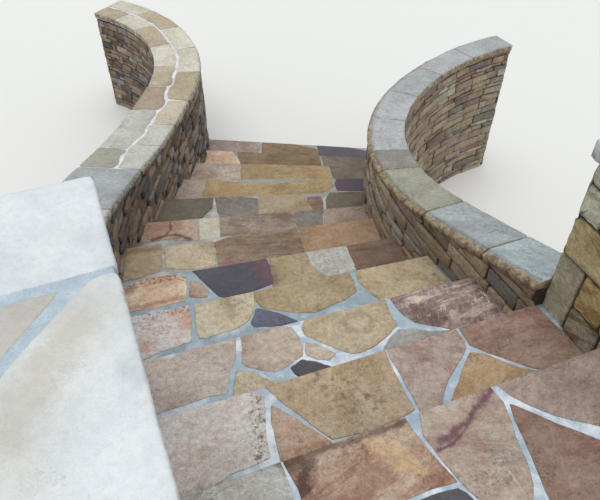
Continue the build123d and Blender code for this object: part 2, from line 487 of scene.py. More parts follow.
class Finish:
    """A material under construction, with the position on the object and the stone's own grain."""

    def __init__(self, name):
        self.material = bpy.data.materials.new(name)
        self.material.use_nodes = True
        self.tree = self.material.node_tree
        self.shader = self.tree.nodes["Principled BSDF"]
        self.place = self.node("ShaderNodeTexCoord", {}, {}, "Object")

    def node(self, kind, settings, sockets, output=0):
        """Any node: its settings first, then its sockets, by name or number."""
        node = self.tree.nodes.new(kind)
        for key, value in settings.items():
            setattr(node, key, value)
        for key, value in sockets.items():
            if isinstance(value, Amount):
                self.tree.links.new(value.socket, node.inputs[key])
            else:
                node.inputs[key].default_value = value
        return Amount(self.tree, node.outputs[output])

    def attribute(self, name, output="Vector"):
        """A value that travels with the points."""
        return self.node("ShaderNodeAttribute", {"attribute_name": name}, {}, output)

    def scaled(self, vector, by):
        """A vector or colour times another, part by part."""
        return self.node("ShaderNodeVectorMath", {"operation": "MULTIPLY"}, {0: vector, 1: by})

    def times(self, vector, amount):
        """A vector or colour times one number."""
        return self.node("ShaderNodeVectorMath", {"operation": "SCALE"}, {0: vector, "Scale": amount})

    def noise(self, vector, scale, detail, rough=0.55, warp=0.0):
        """Clouds of a scale per metre, around one half."""
        return self.node("ShaderNodeTexNoise", {}, {"Vector": vector, "Scale": scale, "Detail": detail,
                                                    "Roughness": rough, "Distortion": warp})

    def rise(self, value, low, high, to_low=0.0, to_high=1.0):
        """A soft step from to_low to to_high as the value goes from low to high."""
        return self.node("ShaderNodeMapRange", {"interpolation_type": "SMOOTHSTEP"},
                         {"Value": value, 1: low, 2: high, 3: to_low, 4: to_high})

    def blend(self, share, first, second):
        """The first colour where the share is zero, the second where it is one."""
        return self.node("ShaderNodeMix", {"data_type": "RGBA"}, {0: share, 6: first, 7: second}, 2)

    def near_path(self, pixels, height, width, wander):
        """One where the surface is near a line drawn through picture points on a level, zero
        away from it: the shortest distance to each straight run, with a little noise added."""
        flat = self.scaled(self.place, (1, 1, 0))
        loose = self.noise(self.place, 22, 6, 0.72) * wander * 4 - wander * 2
        ends = on_level(pixels, height)
        near = None
        for a, b in zip(ends[:-1], ends[1:]):
            run = b - a
            from_a = self.node("ShaderNodeVectorMath", {"operation": "SUBTRACT"},
                               {0: flat, 1: (*a, 0)})
            share = self.node("ShaderNodeVectorMath", {"operation": "DOT_PRODUCT"},
                              {0: from_a, 1: (*(run / (run @ run)), 0)}, "Value")
            share = self.node("ShaderNodeClamp", {}, {"Value": share})
            foot = self.times((*run, 0), share)
            gap = self.node("ShaderNodeVectorMath", {"operation": "DISTANCE"},
                            {0: from_a, 1: foot}, "Value")
            spot = self.rise(gap + loose, width * 0.1, width * 0.95, 1.0, 0.0)
            near = spot if near is None else near.at_least(spot)
        return near

    def done(self, colour, roughness, heights):
        """Links colour and roughness, and chains a Bump node for each (height, distance)."""
        self.tree.links.new(colour.socket, self.shader.inputs["Base Color"])
        self.tree.links.new(roughness.socket, self.shader.inputs["Roughness"])
        normal = None
        for height, distance in heights:
            sockets = {"Height": height, "Distance": distance, "Strength": 1.0}
            if normal is not None:
                sockets["Normal"] = normal
            normal = self.node("ShaderNodeBump", {}, sockets)
        self.tree.links.new(normal.socket, self.shader.inputs["Normal"])
        return self.material


print("finish helpers ready")

# %% [markdown]
# ## The stone finish
# Sandstone flags from one quarry share a surface: broad stains that drift over the stone, fine
# bedding streaks where it split, a salt-and-pepper grain, and a paler worn rim. Each stone brings
# its own two colours. The blotch share sits in the first colour's alpha and the streak share in
# the second's.

# %% Stone finish
def stone_finish(name, fine=1.0, rough=(0.55, 0.85), relief=1.0, contrast=1.0, marks=None,
                 stains=(0.42, 0.31, 0.24), stain_share=0.35,
                 edge=((0.46, 0.38, 0.30), 0.35, (0.38, 0.33, 0.28))):
    """Colour = first to second colour by blotch and streak noise, stained in places, with the
    split side's own colour, times grain and a few dark pits. Height = bedding flakes, each a
    soft step where a broad noise passes a level, then mottle and grain."""
    f = Finish(name)
    grain = f.attribute("grain")
    blotch = f.rise(f.noise(grain, 5.0, 8, 0.72, 0.2), 0.40, 0.64)
    patch = f.rise(f.noise(grain, 17.0, 6, 0.75, 0.1), 0.50, 0.66)
    streak = f.rise(f.noise(f.scaled(grain, (4.0, 24.0, 4.0)), 1.0, 6, 0.72, 0.3), 0.48, 0.62)
    blotches = (blotch * 0.75 + patch * 0.35) * f.attribute("tint", "Alpha")
    streaks = streak * f.attribute("second", "Alpha") * 0.8
    share = f.node("ShaderNodeClamp", {}, {"Value": blotches + streaks})
    colour = f.blend(share, f.attribute("tint", "Color"), f.attribute("second", "Color"))
    stain = f.rise(f.noise(grain, 11.0, 6, 0.7, 1.0), 0.56, 0.70) * stain_share
    colour = f.blend(stain, colour, srgb(*stains))
    if marks:
        colour = marks(f, colour)
    edge_first, edge_share, edge_second = edge
    broken = f.rise(f.noise(f.place, 26, 5, 0.7), 0.42, 0.60)
    broken = f.blend(broken, srgb(*edge_first), srgb(*edge_second))
    colour = f.blend(f.attribute("side", "Fac") * edge_share, colour, broken)
    mottle = f.noise(f.place, 48 * fine, 6, 0.72)
    speck = f.noise(f.place, 230 * fine, 2, 0.6)
    tone = f.rise(mottle, 0.22, 0.78, 1 - 0.26 * contrast, 1 + 0.24 * contrast)
    tone = tone * f.rise(speck, 0.3, 0.7, 1 - 0.14 * contrast, 1 + 0.12 * contrast)
    pits = f.rise(f.noise(f.place, 85 * fine, 3, 0.6), 0.64, 0.72)
    cluster = f.rise(f.noise(f.place, 110 * fine, 4, 0.75), 0.52, 0.60)
    cluster = cluster * f.rise(f.noise(grain, 7.0, 5, 0.65), 0.53, 0.64)
    tone = tone * (1 - pits * (0.42 * contrast)) * (1 - cluster * (0.50 * contrast))
    tone = tone * (1.03 - f.rise(f.noise(grain, 2.6, 2), 0.42, 0.66) * 0.12)
    worn = f.rise(f.attribute("rim", "Fac"), 0.6, 1.0)
    tone = tone * (1 - worn * f.rise(mottle, 0.35, 0.6, 0.22, -0.06))
    bed = f.noise(f.scaled(grain, (1.0, 1.8, 1.0)), 4.2, 7, 0.68, 0.3)
    flakes = f.rise(bed, 0.38, 0.44) + f.rise(bed, 0.47, 0.53) + f.rise(bed, 0.57, 0.63)
    heights = ((flakes, 0.0016 * relief), (mottle, 0.0060 * relief), (speck, 0.0012))
    return f.done(f.times(colour, tone), f.rise(mottle, 0.3, 0.7, *rough), heights)


print("stone finish ready")

# %% [markdown]
# ## The mortar finish
# The pointing is a pale blue-grey mortar with whitish smears where lime came out, and a sandy
# grain. In the wall joints it is deep, dark and earthy. All are one finish with two colours, and
# a third pair of numbers says at which level of a broad noise the smears begin and are full.

# %% Mortar finish
def mortar_finish(name, main, smear, smeared=(0.48, 0.66)):
    """Two colours by a broad noise, times a sandy grain."""
    f = Finish(name)
    cloud = f.rise(f.noise(f.place, 7.0, 4, 0.6, 0.4), *smeared)
    colour = f.blend(cloud, srgb(*main), srgb(*smear))
    sand = f.noise(f.place, 180, 4, 0.7)
    lump = f.noise(f.place, 24, 3, 0.6)
    tone = f.rise(sand, 0.25, 0.75, 0.84, 1.12) * f.rise(lump, 0.3, 0.7, 0.90, 1.07)
    return f.done(f.times(colour, tone), f.rise(sand, 0.3, 0.7, 0.80, 0.95),
                  ((lump, 0.006), (sand, 0.0015)))


MORTARS = {
    "pale_mortar": ((0.67, 0.74, 0.80), (0.88, 0.91, 0.95), (0.45, 0.64)),
    "grey_blue_mortar": ((0.60, 0.665, 0.70), (0.76, 0.81, 0.85), (0.46, 0.68)),
    "worn_mortar": ((0.62, 0.62, 0.61), (0.74, 0.74, 0.73)),
    "white_mortar": ((0.84, 0.84, 0.86), (0.92, 0.92, 0.94)),
    "grey_mortar": ((0.56, 0.56, 0.54), (0.66, 0.66, 0.64)),
    "earthy_mortar": ((0.25, 0.215, 0.18), (0.38, 0.34, 0.29)),
    "rough_concrete": ((0.40, 0.375, 0.34), (0.53, 0.50, 0.46)),
    "cap_pointing": ((0.70, 0.76, 0.81), (0.78, 0.82, 0.86)),
}
mortars = {name: mortar_finish(name, *colours) for name, colours in MORTARS.items()}
print("mortars:", *mortars)

# %% [markdown]
# ## Where the flags lie
# Flagstones could be scattered at random, but the eye knows this paving by its few big stones.
# So the corners of every stone were read on the view as picture points, and are laid back on the
# level of their step. Each stone also names a kind, which gives its two colours and how much of
# blotch and streak it shows.

# %% Kinds of stone
KINDS = {
    "grey": ((0.68, 0.67, 0.65), (0.57, 0.54, 0.51), 0.8, 0.3),
    "beige": ((0.81, 0.77, 0.71), (0.71, 0.63, 0.55), 0.8, 0.3),
    "pink": ((0.77, 0.71, 0.66), (0.66, 0.54, 0.48), 0.9, 0.4),
    "pale_pink": ((0.86, 0.82, 0.79), (0.78, 0.69, 0.65), 0.8, 0.4),
    "pale_orange": ((0.89, 0.82, 0.73), (0.79, 0.615, 0.50), 0.9, 0.4),
    "pale_yellow": ((0.835, 0.795, 0.70), (0.75, 0.67, 0.53), 0.9, 0.3),
    "pale_tan": ((0.76, 0.70, 0.60), (0.66, 0.57, 0.45), 0.9, 0.3),
    "gold_flag": ((0.75, 0.65, 0.52), (0.68, 0.54, 0.38), 0.9, 0.4),
    "ochre": ((0.70, 0.61, 0.46), (0.60, 0.49, 0.34), 0.9, 0.4),
    "ochre_brown": ((0.58, 0.49, 0.38), (0.46, 0.37, 0.27), 0.9, 0.5),
    "rose": ((0.61, 0.51, 0.46), (0.49, 0.37, 0.32), 0.9, 0.5),
    "dark_rose": ((0.53, 0.43, 0.37), (0.40, 0.30, 0.25), 0.9, 0.6),
    "tan": ((0.70, 0.63, 0.53), (0.60, 0.50, 0.37), 0.9, 0.3),
    "orange": ((0.75, 0.67, 0.61), (0.66, 0.50, 0.40), 0.9, 0.4),
    "rust": ((0.62, 0.45, 0.37), (0.83, 0.74, 0.66), 0.9, 0.6),
    "olive": ((0.73, 0.66, 0.55), (0.61, 0.52, 0.38), 0.9, 0.2),
    "yellow": ((0.77, 0.71, 0.60), (0.67, 0.55, 0.41), 0.9, 0.3),
    "mauve": ((0.73, 0.66, 0.625), (0.60, 0.50, 0.455), 0.9, 0.4),
    "plum": ((0.36, 0.32, 0.36), (0.42, 0.34, 0.36), 0.7, 0.3),
    "blue_slate": ((0.41, 0.41, 0.49), (0.38, 0.36, 0.42), 0.7, 0.3),
    "slate": ((0.34, 0.33, 0.37), (0.41, 0.39, 0.41), 0.7, 0.3),
    "dark_slate": ((0.305, 0.295, 0.345), (0.37, 0.345, 0.38), 0.7, 0.3),
    # The next kind is pale_pink made lighter: painted light on the flags along the walls on the left,
    # making up for the shade they stand in.
    "pale_pink_painted_light": ((0.895, 0.875, 0.86), (0.815, 0.745, 0.715), 0.8, 0.4),
    "warm_olive": ((0.785, 0.703, 0.610), (0.656, 0.554, 0.424), 0.9, 0.2),
    "light_rose": ((0.685, 0.575, 0.515), (0.55, 0.42, 0.365), 0.9, 0.5),
    "grey_brown": ((0.655, 0.595, 0.53), (0.485, 0.405, 0.355), 0.9, 0.7),
    "tan_gold": ((0.70, 0.59, 0.485), (0.635, 0.49, 0.35), 0.9, 0.4),
    "dull_tan": ((0.645, 0.575, 0.52), (0.55, 0.455, 0.365), 0.9, 0.3),
    "dark_moss": ((0.495, 0.46, 0.40), (0.38, 0.34, 0.285), 0.9, 0.4),
    "brown": ((0.65, 0.56, 0.48), (0.48, 0.37, 0.31), 0.9, 0.7),
    "streaked": ((0.55, 0.435, 0.415), (0.87, 0.80, 0.76), 0.45, 0.95),
    # The next kind is grey made lighter for the landing's left flag: painted light making up for the shade
    # of the left cheek wall.
    "white": ((0.775, 0.775, 0.76), (0.675, 0.64, 0.61), 0.8, 0.3),
    "moss": ((0.56, 0.53, 0.50), (0.43, 0.40, 0.36), 0.9, 0.4),
    "blue": ((0.70, 0.715, 0.72), (0.60, 0.62, 0.63), 0.8, 0.4),
    "sky_slab": ((0.73, 0.775, 0.79), (0.62, 0.665, 0.68), 0.8, 0.4),
    "grey_slab": ((0.69, 0.72, 0.725), (0.575, 0.595, 0.60), 0.8, 0.4),
    "pale_blue": ((0.75, 0.755, 0.765), (0.66, 0.66, 0.66), 0.8, 0.4),
    # The next kind is made lighter for the tall block at the right cheek wall's corner: painted light
    # making up for the shade it stands in. Some right wall ledges share it.
    "boulder": ((0.785, 0.76, 0.67), (0.64, 0.60, 0.50), 0.8, 0.3),
    # The next kind is a darker blue: painted shade of the plants on the right coping.
    "blue_in_painted_shade": ((0.60, 0.60, 0.57), (0.52, 0.49, 0.43), 0.9, 0.4),
    "dull_olive": ((0.67, 0.67, 0.61), (0.58, 0.57, 0.50), 0.8, 0.3),
    "pale_olive": ((0.785, 0.79, 0.755), (0.71, 0.71, 0.66), 0.8, 0.3),
    "buff": ((0.74, 0.69, 0.59), (0.65, 0.58, 0.47), 0.8, 0.3),
    "light_buff": ((0.81, 0.77, 0.69), (0.74, 0.68, 0.58), 0.8, 0.3),
    # The next kind is partly painted sunlight: a pale buff made lighter for the far flags of the left
    # coping.
    "pale_buff": ((0.85, 0.83, 0.77), (0.78, 0.74, 0.66), 0.8, 0.3),
    "dun": ((0.68, 0.61, 0.53), (0.60, 0.50, 0.42), 0.8, 0.3),
    "cream": ((0.86, 0.86, 0.78), (0.74, 0.71, 0.60), 0.7, 0.9),
    "gold": ((0.82, 0.75, 0.58), (0.62, 0.50, 0.30), 0.75, 0.9),
    "gold_brown": ((0.70, 0.66, 0.58), (0.47, 0.40, 0.28), 0.7, 0.9),
    "limestone": ((0.875, 0.890, 0.90), (0.80, 0.835, 0.86), 0.8, 0.2),
    "pink_limestone": ((0.765, 0.76, 0.745), (0.72, 0.70, 0.675), 0.7, 0.2),
}


def tints_of(kinds, seed, spread=0.06):
    """Two (stones, 4) arrays: the kind's colours, each stone a little lighter or darker, with the
    blotch and streak shares as alpha."""
    rng = np.random.default_rng(seed)
    lift = rng.uniform(1 - spread, 1 + spread, (len(kinds), 1))
    first = np.array([srgb(*KINDS[k][0]) for k in kinds]) * lift
    second = np.array([srgb(*KINDS[k][1]) for k in kinds]) * lift
    first[:, 3] = [KINDS[k][2] for k in kinds]
    second[:, 3] = [KINDS[k][3] for k in kinds]
    return first, second


print("kinds of stone:", len(KINDS))

# %% [markdown]
# ## The stones of each step
# Step 0 is the landing and step 11 the lowest tread. Each entry is a kind and the stone's corners
# on the view, in order round it. A corner may lie past the edge of its step, or of the view.

# %% Stones by step
FLAGS = {
    0: [("white", [(150, 515), (183, 498), (205, 488), (233, 476), (256, 470), (272, 467), (281, 467),
            (290, 490), (300, 530), (300, 600), (140, 600)]),
        ("rust", [(285, 464), (300, 456), (350, 441), (378, 431), (405, 419), (411, 428), (428, 450),
            (456, 481), (430, 488), (404, 499), (395, 540), (390, 600), (315, 600), (312, 540),
            (299, 488)]),
        ("pink", [(420, 412), (450, 400), (490, 387), (502, 401), (510, 420), (516, 440), (527, 462),
            (532, 485), (533, 512), (492, 508), (465, 485), (447, 465), (436, 450), (425, 436)]),
        ("mauve", [(498, 385), (540, 369), (600, 345), (640, 330), (660, 420), (600, 425), (556, 415),
            (530, 404), (512, 395)]),
        ("rose", [(511, 404), (535, 414), (556, 424), (600, 440), (660, 440), (670, 560), (600, 600),
            (560, 520), (546, 490), (538, 468), (526, 440), (516, 420)]),
        ("slate", [(408, 520), (410, 505), (430, 497), (445, 493), (458, 489), (466, 493), (480, 506),
            (492, 520), (545, 522), (570, 600), (405, 600)])],
    1: [("pale_pink_painted_light", [(150, 425), (190, 411.5), (215, 405), (240, 397), (262, 393), (264, 415),
            (265, 437), (268, 457), (250, 466), (230, 473), (195, 500), (165, 512)]),
        ("orange", [(272, 406), (290, 416), (310, 429), (330, 442), (335, 450), (300, 465), (283, 463),
            (277, 440), (273, 422)]),
        ("warm_olive", [(268, 390), (300, 378), (345, 362), (384, 350), (390.5, 367), (401, 388),
            (414, 409), (398, 418), (372, 428), (345, 436), (332, 438), (316, 426), (298, 412),
            (282, 401)]),
        ("mauve", [(388, 349), (405, 345), (430, 338.5), (455, 330), (464, 341), (465, 348), (455, 366),
            (447, 380), (442, 395), (440, 410), (424.5, 418), (413, 394), (403, 377), (393, 360)]),
        ("gold_flag", [(471, 353), (484, 354), (500, 361), (520, 368), (536, 371), (500, 392), (452, 408),
            (455, 394), (461, 378), (466, 364)]),
        ("light_rose", [(459, 326), (500, 312), (537, 303), (560, 300), (600, 350), (560, 372), (530, 366),
            (500, 355.5), (480, 348), (470, 344)])],
    2: [("pale_pink", [(140, 368), (152, 363.5), (172, 359), (188, 350.5), (210, 348), (235, 342),
            (234.5, 356), (230, 368), (226.5, 381), (226, 392), (208, 395), (185, 403.5), (160, 411),
            (145, 416)]),
        ("pale_yellow", [(238, 371), (252, 372.5), (263, 379), (278, 383), (298, 381), (300, 388),
            (265, 398), (234, 402), (235, 388)]),
        ("pink", [(242, 336), (258, 331), (278, 329), (291, 328), (297, 336), (301, 346), (301, 355),
            (293, 360), (284, 366), (276, 370), (262, 369), (250, 366), (243.5, 362), (243.5, 348)]),
        ("slate", [(292, 368), (303, 360.5), (315, 362.5), (330, 367), (318, 371.5), (302, 377),
            (297, 373)]),
        ("beige", [(307, 343), (316, 345), (326, 349.5), (334, 353.5), (329, 358.5), (318, 357.5),
            (307, 354)]),
        ("pale_tan", [(303, 327), (308, 321), (322, 318), (338, 311), (349, 303), (360, 299), (384, 300),
            (388, 312), (396, 324), (386, 335), (375, 344), (364, 350.5), (352, 352), (338, 347.5),
            (322, 341), (306, 334)]),
        ("grey", [(385, 349), (391, 339), (400, 330), (412, 329.5), (432, 332), (452, 331), (470, 322),
            (440, 350), (400, 360)]),
        ("streaked", [(391, 298), (410, 291), (430, 285), (452, 279.5), (480, 271), (492, 282), (512, 306),
            (490, 322), (463, 331), (440, 325.5), (415, 321), (404, 314), (396, 305)])],
    3: [("pale_pink_painted_light", [(130, 318), (150, 313), (170, 308.5), (186.5, 306.5), (189.5, 320), (189.5, 340),
            (176, 345), (160, 350.5), (148, 356.5), (136, 360)]),
        ("pale_yellow", [(196, 303.5), (208, 301.5), (222, 298), (240, 294), (253, 290), (252.5, 308),
            (248, 319), (238, 326.5), (222, 331), (208, 336), (200, 337), (197.5, 325)]),
        ("blue_slate", [(257.5, 309.5), (266, 310.5), (282, 315.5), (295.5, 321), (280, 324), (256, 325.5),
            (252.5, 323)]),
        ("olive", [(255, 291), (271, 286), (300, 279), (328, 273.5), (346, 269), (352, 281), (355, 291),
            (344, 298.5), (330, 304.5), (314, 311), (298, 311.5), (280, 309), (262, 305.5), (255, 298)]),
        ("yellow", [(355, 268.5), (380, 263), (405, 258.5), (434, 252), (446, 266), (462, 280), (430, 292),
            (392, 300), (382, 299), (370, 291), (361, 282)])],
    4: [("pale_orange", [(118, 288), (134, 284.5), (150, 279), (168, 276.5), (184, 277), (185, 290),
            (183.5, 299.5), (168, 303), (152, 307), (136, 309), (125, 311)]),
        ("orange", [(192, 282), (200, 284), (207, 291), (206, 296), (191, 296)]),
        ("dark_slate", [(194, 272), (212, 269.5), (232, 265.5), (252, 261.5), (265, 259.5), (270, 269),
            (272.5, 278), (271, 283), (256, 288.5), (240, 294), (226, 297), (220, 295), (209, 285)]),
        ("olive", [(270.5, 259), (288, 255.5), (304, 252.5), (308, 262), (315, 269), (326, 275.5),
            (330, 280), (300, 290), (275, 292), (274, 280), (272, 268)]),
        ("white", [(309, 253.5), (322, 250), (345, 246.5), (350, 257), (355, 268.5), (345, 271.5),
            (327, 275), (317, 269), (311, 261)]),
        ("dark_rose", [(348, 247), (372, 242), (402, 234.5), (413, 256), (385, 268), (360, 272), (356, 266),
            (352, 257)])],
    5: [("tan", [(112, 256), (130, 251), (146, 248), (160, 247.5), (160.5, 270), (145, 274.5), (128, 279),
            (118, 281)]),
        ("pale_tan", [(165.5, 248.5), (180, 245.5), (200, 243), (213, 242), (215, 252), (214, 265),
            (196, 268), (178, 268), (167, 266)]),
        ("brown", [(215, 242.5), (240, 238), (268, 233.5), (296, 230), (299, 240), (303, 252), (280, 262),
            (245, 268), (221, 270), (219, 258)]),
        ("tan_gold", [(300, 230.5), (322, 226.5), (350, 223.5), (380, 219.5), (396, 238), (370, 250),
            (330, 258), (307, 256), (304, 244)])],
    6: [("orange", [(126, 226), (150, 223.5), (176, 222), (196, 220.5), (196.5, 240), (180, 239),
            (164, 238.5), (150, 241), (134, 242.5), (124, 243)]),
        ("pale_buff", [(200.5, 219), (208, 214), (217, 211), (219, 220), (219, 243), (201, 244)]),
        ("grey_brown", [(220, 217.5), (245, 214.5), (270, 213), (290, 212), (294, 221), (298, 230),
            (270, 238), (222, 246), (221, 230)]),
        ("moss", [(295, 213.5), (322, 211.5), (321, 226), (312, 229), (302, 230), (296, 222)]),
        ("dull_tan", [(325, 212), (345, 210), (371, 208.5), (380, 222), (350, 229), (327, 230),
            (326, 220)])],
    7: [("dark_moss", [(158, 201), (180, 199.5), (212, 199.5), (211, 207.5), (200, 218.5), (180, 228),
            (150, 228), (157, 214)]),
        ("moss", [(216, 199.5), (235, 199), (256, 199), (257, 212), (255, 220), (225, 222), (219, 212)]),
        ("tan", [(260, 198), (282, 196.5), (302, 195.5), (306, 203), (313, 210), (300, 220), (262, 220),
            (260, 210)]),
        ("rose", [(308, 197.5), (320, 197), (322, 203), (322, 211), (314, 210.5), (309, 205)]),
        ("dark_moss", [(331, 190.5), (350, 187.5), (368, 186), (372, 214), (328, 216), (327, 199)])],
    8: [("pink", [(182, 180), (194, 178), (205, 180), (204, 188), (199, 197), (186, 204), (168, 204),
            (177, 190)]),
        ("ochre", [(208, 182), (240, 183), (280, 183.5), (328, 180), (333, 186), (322, 192), (308, 195),
            (285, 197), (240, 198.5), (205, 199), (204, 192)]),
        ("plum", [(337, 178.5), (352, 178), (369, 177.5), (370, 190), (338, 190), (336, 184)])],
    9: [("pink", [(192, 163), (215, 163.5), (238, 164.5), (240, 181), (210, 182), (184, 181)]),
        ("ochre", [(242, 164.5), (280, 165), (325, 166), (333, 180), (300, 186), (242, 186)]),
        ("dark_moss", [(330, 166), (350, 166.5), (370, 167), (370, 181), (336, 181)])],
    10: [("pale_orange", [(200, 150), (222, 150.5), (231, 152), (240, 163), (225, 168), (194, 166)]),
        ("ochre_brown", [(238, 153), (262, 154.5), (300, 157), (318, 158), (322, 168), (270, 169),
            (242, 168)]),
        ("dark_moss", [(322, 157), (345, 158), (370, 159.5), (370, 171), (326, 170)])],
    11: [("mauve", [(205, 142), (230, 142), (256, 144), (258, 152), (240, 156), (204, 153)]),
        ("ochre_brown", [(263, 143.5), (290, 146), (316, 149), (318, 156), (290, 160), (262, 157)]),
        ("slate", [(319, 139), (330, 140), (345, 144), (369, 152), (369, 163), (340, 160), (320, 155)])],
}
print("flags read on the view:", sum(len(v) for v in FLAGS.values()))

# %% [markdown]
# ## Fitting the flags to their step
# A tread has a straight nosing, a straight back under the next riser, and sides that follow the
# walls. The limits come from the tread's own solid, so a stone that was read a little past the
# edge is pressed back to it. The flags are as thick as the tread, with a mortar bed between.

# %% Treads
STEPS = 12
NOTCH = 0.020


class Tread:
    """Flat coordinates of a step: across to the left of its nosing middle, and back uphill."""

    def __init__(self, step):
        self.step = step
        self.node = "landing_slab" if step == 0 else f"tread_{STEPS - step:02d}"
        self.level = LANDING_HEIGHT - RISE * step
        self.middle, self.heading = NOSING_MIDDLES[step], NOSING_HEADINGS[step]
        points = node_points(self.node)
        top = self.flat(points[points[:, 2] > self.level - 1e-4][:, :2])
        sides = []
        for side in (1, -1):
            edge = top[top[:, 0] * side > 0]
            edge = edge[np.argsort(edge[:, 1] + 1e-3 * side * edge[:, 0])]
            sides.append(self.without_notches(edge, side))
        self.left, self.right = sides
        self.back = np.array([self.right[-1], self.left[-1]])

    def without_notches(self, edge, side):
        """Each corner once, and none that lies over 20 mm inside the line between its neighbours,
        as at the cut round a cheek wall's corner, which the wall hides."""
        edge = edge[np.r_[True, np.abs(np.diff(edge, axis=0)).sum(1) > 1e-3]]
        before, here, after = edge[:-2], edge[1:-1], edge[2:]
        share = (here[:, 1] - before[:, 1]) / np.maximum(after[:, 1] - before[:, 1], 1e-6)
        inside = side * (before[:, 0] + share * (after[:, 0] - before[:, 0]) - here[:, 0])
        return edge[np.r_[True, inside < NOTCH, True]]

    def flat(self, points):
        """Across and back: the offset from the nosing's middle along left and against downhill."""
        away = points - self.middle
        return np.stack([away @ leftward(self.heading), -(away @ downhill(self.heading))], -1)

    def press(self, flat, gap, snap=0.0):
        """Points held inside the tread, and moved onto its edges where they are nearly there. The
        gap to the right wall is twice as wide on the first two steps, and five times below."""
        a, b = flat[..., 0], flat[..., 1]
        deep = np.interp(a, self.back[:, 0], self.back[:, 1]) - gap
        b = np.clip(np.where(b < snap, 0, np.where(b > deep - snap, deep, b)), gap * 0.2, deep)
        high = np.interp(b, self.left[:, 1], self.left[:, 0]) - gap
        low = np.interp(b, self.right[:, 1], self.right[:, 0]) + gap * (2 if self.step < 2 else 5)
        a = np.clip(np.where(a > high - snap, high, np.where(a < low + snap, low, a)), low, high)
        return np.stack([a, b], -1)

    def lay(self, u, v, w):
        """x, y from across and back, z from the level plus the height."""
        across, back = u[..., None] * leftward(self.heading), v[..., None] * downhill(self.heading)
        return np.concatenate([self.middle + across - back, (self.level + w)[..., None]], -1)

    def corner(self, flat):
        """The plan point of one point on the step."""
        return self.lay(np.array(flat[0]), np.array(flat[1]), np.array(0.0))[:2]


TREADS = [Tread(k) for k in range(STEPS)]
print("landing depth", TREADS[0].back[:, 1].round(3),
      "lowest tread width", np.ptp(TREADS[11].back[:, 0]).round(2))

# %% [markdown]
# ## Stones nobody sees from the landing
# The rest of the landing lies behind the viewer, and the lowest tread runs on behind the walls.
# Both are filled with stones of the same kinds, given in metres across and back.

# %% Hidden flags
LOWEST = TREADS[-1]
read = np.concatenate([LOWEST.flat(on_level(c, LOWEST.level))[:, 0] for k, c in FLAGS[LOWEST.step]])
LOW_LEFT, LOW_RIGHT = float(read.max()) + 0.012, float(read.min()) - 0.012
HIDDEN = {
    0: [("beige", [(0.72, 0.265), (0.475, 0.355), (0.30, 0.425), (0.27, 0.60), (0.45, 0.66),
                   (0.72, 0.62)]),
        ("olive", [(0.25, 0.445), (-0.11, 0.585), (-0.10, 0.74), (0.10, 0.80), (0.24, 0.70),
                   (0.245, 0.60)]),
        ("tan", [(-0.14, 0.595), (-0.37, 0.60), (-0.40, 0.62), (-0.38, 0.80), (-0.13, 0.76)]),
        ("rose", [(-0.65, 0.34), (-0.72, 0.33), (-0.72, 0.70), (-0.43, 0.70), (-0.42, 0.60)]),
        ("grey", [(0.72, 0.645), (0.455, 0.685), (0.30, 0.635), (0.27, 0.70), (0.30, 1.05),
                  (0.72, 1.05)]),
        ("yellow", [(0.245, 0.725), (0.10, 0.825), (-0.09, 0.765), (-0.06, 1.05), (0.275, 1.05)]),
        ("orange", [(-0.115, 0.785), (-0.38, 0.825), (-0.42, 0.73), (-0.72, 0.73), (-0.72, 1.05),
                    (-0.085, 1.05)])],
    11: [("tan", [(LOW_LEFT, 0.0), (0.95, 0.0), (0.93, 0.45), (LOW_LEFT, 0.45)]),
         ("beige", [(LOW_RIGHT, 0.0), (-0.97, 0.0), (-0.95, 0.45), (LOW_RIGHT, 0.45)]),
         ("olive", [(-0.99, 0.0), (-1.60, 0.0), (-1.30, 0.45), (-0.97, 0.45)])],
}
print("hidden flags:", sum(len(v) for v in HIDDEN.values()))

# %% [markdown]
# ## Marks on single stones
# A few stones carry marks that make them easy to recognise: a purple vein with a thin white line
# beside it, pitted edges, a ring-shaped stain, reddish flecks, rusty outlines, a banded brown
# stone and a dark arc. A mark is a colour, the patterns that break it up, and lines on its step,
# each given as strength, width, wander and picture points.

